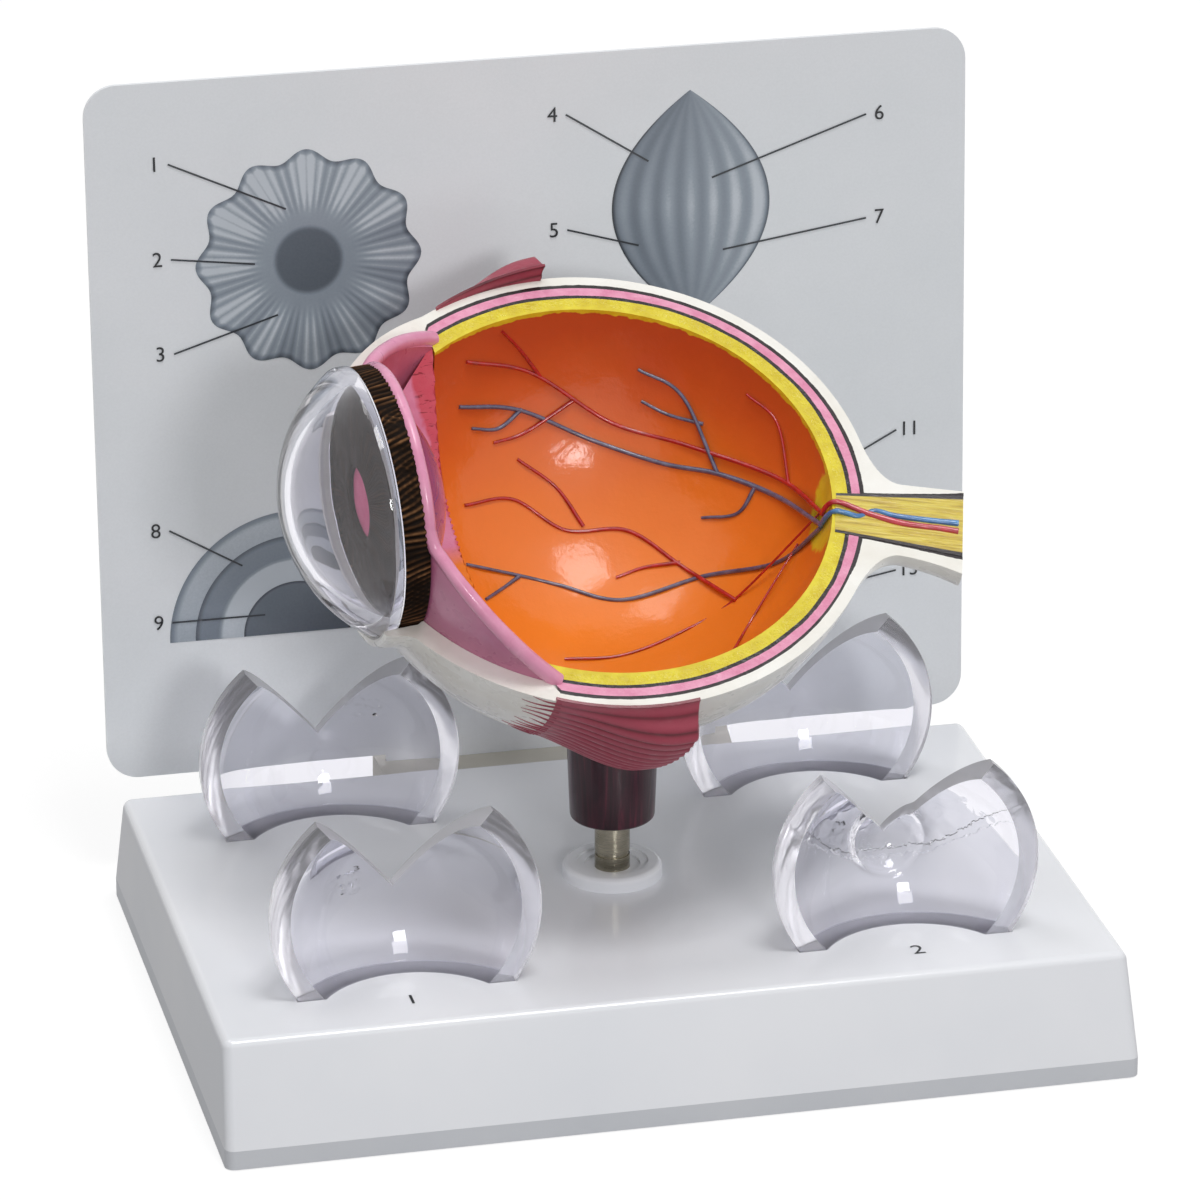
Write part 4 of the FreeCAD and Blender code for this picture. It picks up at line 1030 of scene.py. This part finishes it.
ARTERIES = [
    [(110, -18), (91, -27), (66, -40), (40, -39), (8, -28), (-16, -15)],
    [(99, -13), (94, -20), (88, -29)],
    [(107, -42), (95, -42), (78, -35)],
    [(130, -51), (108, -57), (84, -68), (45, -65), (5, -62), (-25, -49)],
    [(100, -48), (86, -57), (72, -67)],
    [(29, -77), (19, -70), (8, -62)],
    [(30, -18), (18, -18), (3, -26)],
    [(-14, -17), (-24, -49), (-40, -62), (-75, -70), (-119, -70)],
    [(-16, -28), (-37, -41), (-57, -38)],
]
VEINS = [
    [(115, -29), (96, -36), (72, -45), (45, -46), (25, -40), (4, -31), (-19, -16)],
    [(113, -36), (104, -39), (95, -36)],
    [(61, -25), (47, -28), (26, -40)],
    [(58, -33), (49, -34), (38, -32)],
    [(19, -51), (10, -43), (12, -35)],
    [(154, -59), (139, -73), (112, -82), (-3, -79), (-6, -58), (-17, -36), (-19, -17)],
    [(172, -65), (158, -70), (140, -73)],
]
ARTERY_SHARES = (1.0, 0.8, 0.8, 0.9, 0.8, 0.8, 0.65, 0.6, 0.55)
VEIN_SHARES = (1.0, 0.8, 0.75, 0.75, 0.75, 0.8, 0.75)
# the nerve's cords leave the cavity's wall where the vessels on it meet, and cross once
NERVE_ARTERY = [(38.3, -11.0, -10.8), (38.7, -11.3, -8.2), (39.7, -11.9, -6.5), (41.4, -12.7, -6.55),
                (45.3, -15.7, -6.8), (50.3, -18.8, -6.85), (56.6, -21.3, -6.85), (59.6, -22.6, -6.85)]
NERVE_VEIN = [(37.5, -12.9, -11.5), (38.2, -13.3, -8.4), (39.3, -13.9, -6.6), (40.9, -14.6, -6.6),
              (42.9, -15.6, -6.9), (44.6, -15.3, -7.3), (46.5, -15.0, -7.1), (49.7, -17.0, -6.85),
              (55.1, -19.1, -6.85), (60.2, -20.9, -6.85)]


def on_ball(x, height):
    """Distance from the X axis of a point at x, that far over the white ball."""
    return np.sqrt(EYE_RADIUS ** 2 - x ** 2) + height


def muscle_piece(name, node, material, start, ends, first, last, last_front, fringe=0, grooves=13):
    """A muscle that lies on the white shell: it starts thin at x = start, swells to a slanted lumpy end
    and has grooves along it. It reaches from the first angle about the X axis to the last, in degrees;
    the last one changes from last_front at the front. Ends gives the x where the muscle stops, at its
    first and last angle."""
    along = np.linspace(0, 1, 60)[:, None]
    share = np.linspace(0, 1, 161)
    angles = np.radians(first + (last_front + (last - last_front) * along ** 0.8 - first) * share)
    stop = ends[0] + (ends[1] - ends[0]) * share + 0.5 * wobble(share * 16, 0 * share, 11)
    x = start + (stop - start) * along
    edge = smooth_step(0.0, 0.2, share) * smooth_step(1.0, 0.9, share)
    swelling = 5.0 * smooth_step(0.0, 0.9, along) * edge
    groove = np.abs(np.sin(math.pi * (share * grooves + 0.25 * wobble(share * 9, along * 1.5, 12))))
    crest = groove ** 0.6
    radius = on_ball(x, 0.15) + swelling - 0.55 * (1 - crest) * edge * smooth_step(0, 0.3, along)
    belly = around(x, radius, angles)

    depth = np.linspace(0, 1, 12)[1:, None]
    lumps = wobble(share * 22, depth * 3, 13)
    face_radius = radius[-1] + (on_ball(stop, -0.3) - radius[-1]) * depth
    face = around(stop + 0.55 * np.sin(math.pi * depth) ** 0.5 * (1 + lumps) * edge, face_radius,
                  angles[-1])
    tone = np.concatenate([crest, 0.35 + 0.4 * lumps])

    under_x = np.concatenate([x, np.broadcast_to(stop, lumps.shape)])
    turn = np.concatenate([angles, np.broadcast_to(angles[-1], lumps.shape)])
    patches = slab(np.concatenate([belly, face]), around(under_x, on_ball(under_x, -0.4), turn), tone, tone)
    patches += fringe_patches(start, first, last, fringe)
    build(name, "eye", patches, [node], material, sharp=50)


def fringe_patches(start, first, last, count):
    """A row of tapering strands that run on from a muscle's front over the white, at random places and
    lengths."""
    random = np.random.default_rng(14)
    patches = []
    for k in range(count):
        middle = np.radians(first + (last - first) * (k + 0.5 + random.uniform(-0.25, 0.25)) / count)
        length = random.uniform(3.0, 6.0)
        x = np.linspace(start + 0.5 - length, start + 1.0, 14)
        path = around(x, on_ball(x, 0.0), middle + 0.012 * np.sin(np.linspace(0, 3, 14) + k))
        patches.append(sheet(tube(path, np.linspace(0.06, 0.3, 14), 8), OUTER_FACE, 0.4))
    return patches


def stem_piece(material):
    """Maroon post under the eye: slightly wider at its top, with a rounded foot edge and the bore for the
    rod."""
    profile = [(46.4, 0.0), (46.4, 3.22), (33.0, 3.22), (33.0, 7.0), (33.1, 7.35), (33.35, 7.58),
               (33.7, 7.66), (40.0, 7.9), (46.0, 8.13), (52.4, 8.36), (52.4, 0.0)]
    build("maroon_stem", "eye", [sheet(revolve(profile, 97))], ["stem"], material,
          place=upright_place, sharp=50)


# -------------------- pieces: stand and card


def dress(name, material):
    """A node of the frame keeps its shape: its loose triangles are joined, edges sharper than 30 degrees
    are split, and it gets a material."""
    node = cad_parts[name]
    node.data.materials.clear()
    node.data.materials.append(material)
    node.data.polygons.foreach_set("use_smooth", np.ones(len(node.data.polygons), bool))
    weld = node.modifiers.new("joined", "WELD")
    weld.merge_threshold = 0.002 * MM
    split = node.modifiers.new("sharp edges", "EDGE_SPLIT")
    split.split_angle = math.radians(30.0)


def grid(first, second):
    """Two parameters on a grid: all pairs of their values."""
    return np.meshgrid(first, second, indexing="ij")


def flat_patch(x, y, tone, layer=0):
    """Printed patch of a drawing: places on the card and a tone from dark (0) to pale (1)."""
    height = np.full(x.shape, 0.06 + 0.02 * layer)
    return sheet(np.stack([x, y, height], -1), OUTER_FACE, np.clip(tone, 0, 1))


def rosette_drawing(cx, cy, size):
    """A ring of petals round a dark middle, shaded as if it bulged, lit from the upper left."""
    radius, angle = grid(np.linspace(0, 1, 60), np.linspace(0, 2 * math.pi, 241))
    reach = size * radius * (1 + 0.05 * smooth_step(0.5, 1, radius) * np.cos(12 * angle))
    petals = 0.5 + 0.5 * np.cos(12 * angle)
    light = 0.12 * radius * np.cos(angle - 2.2)
    tone = 0.72 + light - 0.42 * smooth_step(0.34, 0.28, radius)
    tone += 0.2 * petals * smooth_step(0.35, 0.7, radius)
    tone -= 0.4 * smooth_step(0.93, 1.0, radius) + 0.12 * np.cos(60 * angle) * smooth_step(0.4, 0.6, radius)
    return [flat_patch(cx + reach * np.cos(angle), cy + reach * np.sin(angle), tone)]


def lens_drawing(cx, cy, width, height):
    """Section of a two sided lens: nested skins between two arcs that meet in points."""
    across, along = grid(np.linspace(-1, 1, 121), np.linspace(-1, 1, 121))
    x = cx + width * across * (1 - along ** 2)
    skins = 0.5 + 0.5 * np.cos(7 * math.pi * np.abs(across))
    tone = 0.62 + 0.28 * skins * (1 - np.abs(along)) + 0.15 * across
    tone -= 0.5 * smooth_step(0.94, 1.0, np.abs(across))
    return [flat_patch(x, cy + height * along, tone)]


def dome_drawing(cx, cy, size):
    """Half ball of four nested shells, open at its flat side, with soft round shading."""
    radius, angle = grid(np.linspace(0, 1, 50), np.linspace(0, math.pi, 121))
    light = 0.16 * radius * np.cos(angle - 2.0)
    patches = []
    for k, (share, tone) in enumerate(((1.0, 0.78), (0.8, 0.5), (0.62, 0.86), (0.42, 0.3))):
        shade = tone + light - 0.35 * smooth_step(0.94, 1.0, radius)
        reach = size * share * radius
        patches.append(flat_patch(cx + reach * np.cos(angle), cy + reach * np.sin(angle), shade, k))
    return patches


def block_drawing(cx, cy, width, height):
    """Block of five wavy layers with a fine grain of dots in the middle one."""
    across, up = grid(np.linspace(0, 1, 121), np.linspace(0, 1, 121))
    level = 5 * (up + 0.02 * np.sin(9 * across) * np.sin(math.pi * up))
    dots = 0.1 * np.sin(70 * across) * (np.floor(level) == 2)
    tone = 0.45 + 0.4 * (0.5 + 0.5 * np.cos(2 * math.pi * level)) + dots
    border = np.minimum(np.minimum(across, 1 - across), np.minimum(up, 1 - up))
    tone -= 0.35 * smooth_step(0.015, 0.0, border)
    return [flat_patch(cx + width * across, cy + height * up, tone)]


def leader(a, b, width=0.35):
    """A thin straight line from one place on the card to another."""
    a, b = np.array(a, float), np.array(b, float)
    side = np.array([a[1] - b[1], b[0] - a[0]]) / np.linalg.norm(b - a) * width / 2
    line = np.linspace(a, b, 12)
    both = np.stack([line + side, line - side])
    return flat_patch(both[..., 0], both[..., 1], np.zeros(both.shape[:2]), 6)


def numeral(name, text, size, corner, place, body, material):
    """A plain printed number: the outline of a text, made a mesh, moved to its corner and put in place."""
    curve = bpy.data.curves.new(name, "FONT")
    curve.body = text
    curve.size = size
    curve.align_x = "CENTER"
    curve.align_y = "CENTER"
    curve.resolution_u = 4
    holder = bpy.data.objects.new(name + "_text", curve)
    bpy.context.scene.collection.objects.link(holder)
    bpy.context.view_layer.update()
    mesh = bpy.data.meshes.new_from_object(holder.evaluated_get(bpy.context.evaluated_depsgraph_get()))
    bpy.data.objects.remove(holder)
    bpy.data.curves.remove(curve)
    points = np.empty(len(mesh.vertices) * 3)
    mesh.vertices.foreach_get("co", points)
    mesh.vertices.foreach_set("co", (place(points.reshape(-1, 3) + np.array(corner)) * MM).ravel())
    mesh.update()
    finish_piece(name, mesh, body, [], material)


# each numeral of the card: its place, and the end of its leader line
CARD_NUMERALS = [
    ((-70, 118), (-46, 108)), ((-70, 100), (-52, 98)), ((-70, 82), (-48, 88)),
    ((4, 122), (22, 112)), ((4, 100), (20, 96)), ((66, 118), (34, 108)), ((66, 98), (36, 94)),
    ((-72, 48), (-56, 40)), ((-72, 30), (-52, 30)), ((-18, 46), (-36, 38)),
    ((72, 56), (58, 50)), ((72, 42), (58, 38)), ((72, 28), (58, 26)),
]
BASE_NUMERALS = [(-45.8, -44.1), (44.9, -44.2), (-46.2, 20.3), (42.2, 19.1)]
LEADER_GAP = 2.5  # between a numeral's middle and its leader


def stand_pieces(white, steel, ink):
    """The stand's nodes in their materials, and the base's four numerals."""
    # painted shade: the card holder is the base's white plastic, darkened to a beige grey for its place in
    # shade under the card
    painted_shade_white = white_abs("ivory ABS, card holder", "#C9C5BA", "#BAB5AA")
    band = white_abs("white ABS, plain band", "#E0E2E7", "#D8DBE1")
    for name, material, slot in (
            ("base_shell", white, "white_plastic"),
            ("rod_collar", white, "white_plastic"),
            ("card_holder", painted_shade_white, "white_plastic"),
            ("base_plate", band, "base_band"),
            ("support_rod", steel, "rod_metal"),
            ("rod_clip", steel, "rod_metal")):
        dress(name, material)
    for k, (x, y) in enumerate(BASE_NUMERALS, 1):
        numeral(f"base_numeral_{k}", str(k), 5.0, (x, y, 0.06), top_place, "base", ink)


def card_pieces(card, print_ink, ink):
    """The card in its film, its four drawings, its leader lines and its numerals."""
    dress("key_card", card)
    patches = (rosette_drawing(-42, 98, 20) + lens_drawing(30, 103, 15, 22) + dome_drawing(-46, 26, 24)
               + block_drawing(14, 20, 44, 40))
    for (x, y), end in CARD_NUMERALS:
        patches.append(leader((x + math.copysign(LEADER_GAP, end[0] - x), y), end))
    build("card_drawings", "card", patches, [], print_ink, place=card_place, sharp=80)
    for k, ((x, y), _) in enumerate(CARD_NUMERALS, 1):
        numeral(f"card_numeral_{k}", str(k), 4.0, (x, y, 0.2), card_place, "card", ink)


# -------------------- settings


class EyeModelSettings(bpy.types.PropertyGroup):
    """What a user would change on the model and its stage."""
    iris_ridges: bpy.props.IntProperty(
        name="Iris ridges", description="Ridges round the iris", default=120, min=20)
    artery_radius: bpy.props.FloatProperty(
        name="Artery radius", description="Radius of the red cords, in millimetres",
        default=0.46, min=0.2, max=1.5)
    vein_radius: bpy.props.FloatProperty(
        name="Vein radius", description="Radius of the blue cords, in millimetres",
        default=0.52, min=0.2, max=1.5)
    lamp_power: bpy.props.FloatProperty(
        name="Lamp power", description="Power of the large lamp, in watts",
        default=6.4, min=0.0, unit="POWER")


class EYEMODEL_OT_stand(bpy.types.Operator):
    """Gives the base, its band, the collar, the rod and the card's holder their materials and numerals"""
    bl_idname = "eye_model.stand"
    bl_label = "Stand"

    def execute(self, context):
        stand_pieces(white_abs("white ABS"), plated_steel(), black_ink())
        return {"FINISHED"}


class EYEMODEL_OT_card(bpy.types.Operator):
    """Prints drawings, leader lines and numerals on the key card"""
    bl_idname = "eye_model.card"
    bl_label = "Key card"

    def execute(self, context):
        card_pieces(laminated_card(), motif_ink(), black_ink())
        return {"FINISHED"}


class EYEMODEL_OT_loose_corneas(bpy.types.Operator):
    """Builds the four clear corneas that stand in the base"""
    bl_idname = "eye_model.loose_corneas"
    bl_label = "Loose corneas"

    def execute(self, context):
        plain = (0.0, 0.0)
        for name, look, relief, bulges in (
                ("front_left", "few blisters", blisters((-54.5, -26.4, 37.3), 3.6), plain),
                ("front_right", "swollen", swelling(43.8, 31.7), (9.0, 6.6)),
                ("back_left", "blistered", blisters((-36.4, 42.6, 41.4), 4.6), plain),
                ("back_right", "plain", None, plain)):
            acrylic = clear_acrylic("clear acrylic, " + look, relief=relief)
            loose_cornea("loose_" + name, "cornea_" + name, acrylic, bulges)
        return {"FINISHED"}


class EYEMODEL_OT_shell(bpy.types.Operator):
    """Builds the white shell of the eyeball with the sleeve round its nerve"""
    bl_idname = "eye_model.shell"
    bl_label = "White shell"

    def execute(self, context):
        sclera_piece(white_enamel())
        return {"FINISHED"}


class EYEMODEL_OT_layers(bpy.types.Operator):
    """Builds the pink, yellow and orange layers inside the shell"""
    bl_idname = "eye_model.layers"
    bl_label = "Layers"

    def execute(self, context):
        pink = layer_enamel("pink layer enamel", ("#DF87A9", "#F0A6C3"), line=0.75, depth=0.35)
        yellow = layer_enamel("yellow layer enamel", YELLOW, line=0.0, depth=0.8)
        layer_pieces(pink, yellow, orange_enamel())
        return {"FINISHED"}


class EYEMODEL_OT_front(bpy.types.Operator):
    """Builds the pink wall, the ciliary ring, the iris, the lens and the clear dome"""
    bl_idname = "eye_model.front"
    bl_label = "Front of the eye"

    def execute(self, context):
        front_wall_piece(pink_enamel())
        ciliary_piece(streaked_enamel())
        iris_piece(iris_enamel(), context.scene.eye_model.iris_ridges)
        lens_piece(clear_acrylic("clear purple acrylic", "#D9C6EC"))
        cornea_piece(clear_acrylic("clear acrylic, dome"))
        return {"FINISHED"}


class EYEMODEL_OT_nerve(bpy.types.Operator):
    """Builds the nerve's core and all the vessels"""
    bl_idname = "eye_model.nerve"
    bl_label = "Nerve and vessels"

    def execute(self, context):
        model = context.scene.eye_model
        nerve_piece(nerve_enamel())
        cords_piece("cavity_arteries", "retinal_arteries",
                    vessel_enamel("red enamel", "#9A1218", "#BE1E22"),
                    cavity_lines(ARTERIES), model.artery_radius, ARTERY_SHARES, 0.75)
        cords_piece("cavity_veins", "retinal_veins",
                    vessel_enamel("grey-blue enamel", "#4A4A66", "#666A86"),
                    cavity_lines(VEINS), model.vein_radius, VEIN_SHARES, 0.75)
        cords_piece("nerve_artery_cord", "nerve_artery",
                    vessel_enamel("carmine enamel", "#B0102A", "#CC1E38"),
                    [NERVE_ARTERY], 0.62, (1.0,), 0.7)
        cords_piece("nerve_vein_cord", "nerve_vein",
                    vessel_enamel("bright blue enamel", "#1E5C9C", "#3E86C2"),
                    [NERVE_VEIN], 0.58, (1.0,), 0.8)
        return {"FINISHED"}


class EYEMODEL_OT_muscles(bpy.types.Operator):
    """Builds the two muscles on the white shell"""
    bl_idname = "eye_model.muscles"
    bl_label = "Muscles"

    def execute(self, context):
        crimson = muscle_enamel()
        muscle_piece("muscle_near_grooved", "muscle_near", crimson, start=-21.5, ends=(3.2, -1.5),
                     first=188.0, last=222.0, last_front=222.0, fringe=13)
        muscle_piece("muscle_far_grooved", "muscle_far", crimson, start=-17.5, ends=(0.5, 3.4),
                     first=-34.0, last=-4.0, last_front=-8.3)
        return {"FINISHED"}


class EYEMODEL_OT_stem(bpy.types.Operator):
    """Builds the maroon post under the eyeball"""
    bl_idname = "eye_model.stem"
    bl_label = "Stem"

    def execute(self, context):
        stem_piece(maroon_resin())
        return {"FINISHED"}


# -------------------- stage

CAMERA_PLACE = np.array([-253.0, -1090.7, 527.0])
CAMERA_YAW, CAMERA_PITCH, CAMERA_ROLL = -0.226, 0.384, -0.001  # radians
CAMERA_FOCAL_PIXELS = 6808.2  # for an image 1200 pixels wide
SENSOR_WIDTH = 36.0
LAMP_TARGET = Vector((0.0, 0.0, 60.0))
# each lamp: its place in millimetres, its two sides in metres and its share of the lamp power
LAMPS = {
    "large_lamp": ((150, -350, 1350), (0.45, 0.45), 1.0),
    "front_lamp": ((100, -1300, 500), (0.25, 0.2), 0.6),
    "back_lamp": ((-350, 300, 1300), (0.4, 0.4), 0.35),
}
SURROUNDINGS_LIGHT = 0.42  # what the white surroundings give as light, where 1 shows as white
FLOOR_HALF, FLOOR_HEIGHT, FLOOR_GLOW = 4000.0, -0.2, 0.8


def seen(add):
    """1 for rays from the camera, straight or by way of a reflection or a clear piece, and 0 for the
    light."""
    rays = add("LightPath").outputs
    by_way = add("Math", rays["Is Glossy Ray"], rays["Is Transmission Ray"], operation="MAXIMUM")
    return add("Math", rays["Is Camera Ray"], by_way, operation="MAXIMUM")


def stage_material():
    """Matt pale paper sweep: it keeps the shadows and shows plain white where the camera looks past
    them."""
    material, add = new_material("matt pale paper")
    fibres = add("TexNoise", Vector=world_millimetres(add), Scale=0.8, Detail=3.0)
    surface(add, Base_Color="#8C8C8C", Roughness=0.9, IOR=1.4,
            Normal=add("Bump", Strength=0.15, Distance=0.1 * MM, Height=fibres),
            Emission_Strength=add("Math", seen(add), FLOOR_GLOW, operation="MULTIPLY"),
            Emission_Color="#FFFFFF")
    return material


def add_floor():
    """A large flat square just under the model."""
    corners = np.array([(-1, -1, 0), (1, -1, 0), (1, 1, 0), (-1, 1, 0)]) * FLOOR_HALF + (0, 0, FLOOR_HEIGHT)
    mesh = bpy.data.meshes.new("floor")
    mesh.from_pydata((corners * MM).tolist(), [], [(0, 1, 2, 3)])
    mesh.materials.append(stage_material())
    floor = bpy.data.objects.new("floor", mesh)
    bpy.context.scene.collection.objects.link(floor)


def add_lamp(name, place, sides, power):
    """A rectangular soft lamp that points at the model."""
    lamp = bpy.data.lights.new(name, "AREA")
    lamp.shape = "RECTANGLE"
    lamp.size, lamp.size_y = sides
    lamp.energy = power
    holder = bpy.data.objects.new(name, lamp)
    holder.location = Vector(place) * MM
    holder.rotation_euler = (LAMP_TARGET - Vector(place)).to_track_quat("-Z", "Y").to_euler()
    bpy.context.scene.collection.objects.link(holder)


def add_surroundings():
    """White surroundings, at full strength where they are seen and weaker as light."""
    world = bpy.data.worlds.new("white surroundings")
    world.use_nodes = True
    world.node_tree.nodes.clear()
    add = partial(add_node, world.node_tree)
    strength = add("MapRange", seen(add), 0.0, 1.0, SURROUNDINGS_LIGHT, 1.0)
    add("OutputWorld", Surface=add("Background", "#FFFFFF", strength))
    bpy.context.scene.world = world


def add_camera():
    """The camera, with axes to the right, up and backward from its yaw, its downward pitch and its roll."""
    cy, sy, cp, sp = (f(a) for a in (CAMERA_YAW, CAMERA_PITCH) for f in (math.cos, math.sin))
    cr, sr = math.cos(CAMERA_ROLL), math.sin(CAMERA_ROLL)
    forward = np.array([-sy * cp, cy * cp, -sp])
    right = np.array([cy, sy, 0.0])
    up = np.cross(right, forward)
    columns = (cr * right + sr * up, -sr * right + cr * up, -forward, CAMERA_PLACE * MM)
    camera = bpy.data.cameras.new("camera")
    camera.sensor_width = SENSOR_WIDTH
    camera.lens = CAMERA_FOCAL_PIXELS * SENSOR_WIDTH / 1200
    camera.clip_end = 10.0
    holder = bpy.data.objects.new("camera", camera)
    holder.matrix_world = Matrix([*np.stack(columns, 1).tolist(), (0, 0, 0, 1)])
    bpy.context.scene.collection.objects.link(holder)
    bpy.context.scene.camera = holder


class EYEMODEL_OT_stage(bpy.types.Operator):
    """Puts the floor, the lamps, the white surroundings and the camera round the model"""
    bl_idname = "eye_model.stage"
    bl_label = "Stage"

    def execute(self, context):
        scene = context.scene
        add_floor()
        for name, (place, sides, share) in LAMPS.items():
            add_lamp(name, place, sides, scene.eye_model.lamp_power * share)
        add_surroundings()
        add_camera()
        scene.view_settings.view_transform = "Standard"
        # light that is trapped in the clear pieces' edges finds its way out after many reflections
        scene.cycles.max_bounces = 32
        scene.cycles.glossy_bounces = 24
        scene.cycles.transmission_bounces = 32
        return {"FINISHED"}


# -------------------- panel

STEPS = (EYEMODEL_OT_stand, EYEMODEL_OT_card, EYEMODEL_OT_loose_corneas, EYEMODEL_OT_shell,
         EYEMODEL_OT_layers, EYEMODEL_OT_front, EYEMODEL_OT_nerve, EYEMODEL_OT_muscles, EYEMODEL_OT_stem,
         EYEMODEL_OT_stage)


class EYEMODEL_PT_panel(bpy.types.Panel):
    """The settings, and a button for each step"""
    bl_label = "Eye anatomy model"
    bl_space_type = "VIEW_3D"
    bl_region_type = "UI"
    bl_category = "Eye Model"

    def draw(self, context):
        for name in EyeModelSettings.__annotations__:
            self.layout.prop(context.scene.eye_model, name)
        for step in STEPS:
            self.layout.operator(step.bl_idname)


def register():
    """Makes the classes known and ties the settings to the scene."""
    for kind in (EyeModelSettings, *STEPS, EYEMODEL_PT_panel):
        bpy.utils.register_class(kind)
    bpy.types.Scene.eye_model = bpy.props.PointerProperty(type=EyeModelSettings)


def unregister():
    """Takes the settings and the classes away again."""
    del bpy.types.Scene.eye_model
    for kind in (EYEMODEL_PT_panel, *reversed(STEPS), EyeModelSettings):
        bpy.utils.unregister_class(kind)


def main():
    """Runs all the steps in order."""
    register()
    for step in STEPS:
        group, name = step.bl_idname.split(".")
        if getattr(getattr(bpy.ops, group), name)() != {"FINISHED"}:
            raise RuntimeError("the step %s did not finish" % step.bl_label)


if __name__ == "__main__":
    main()
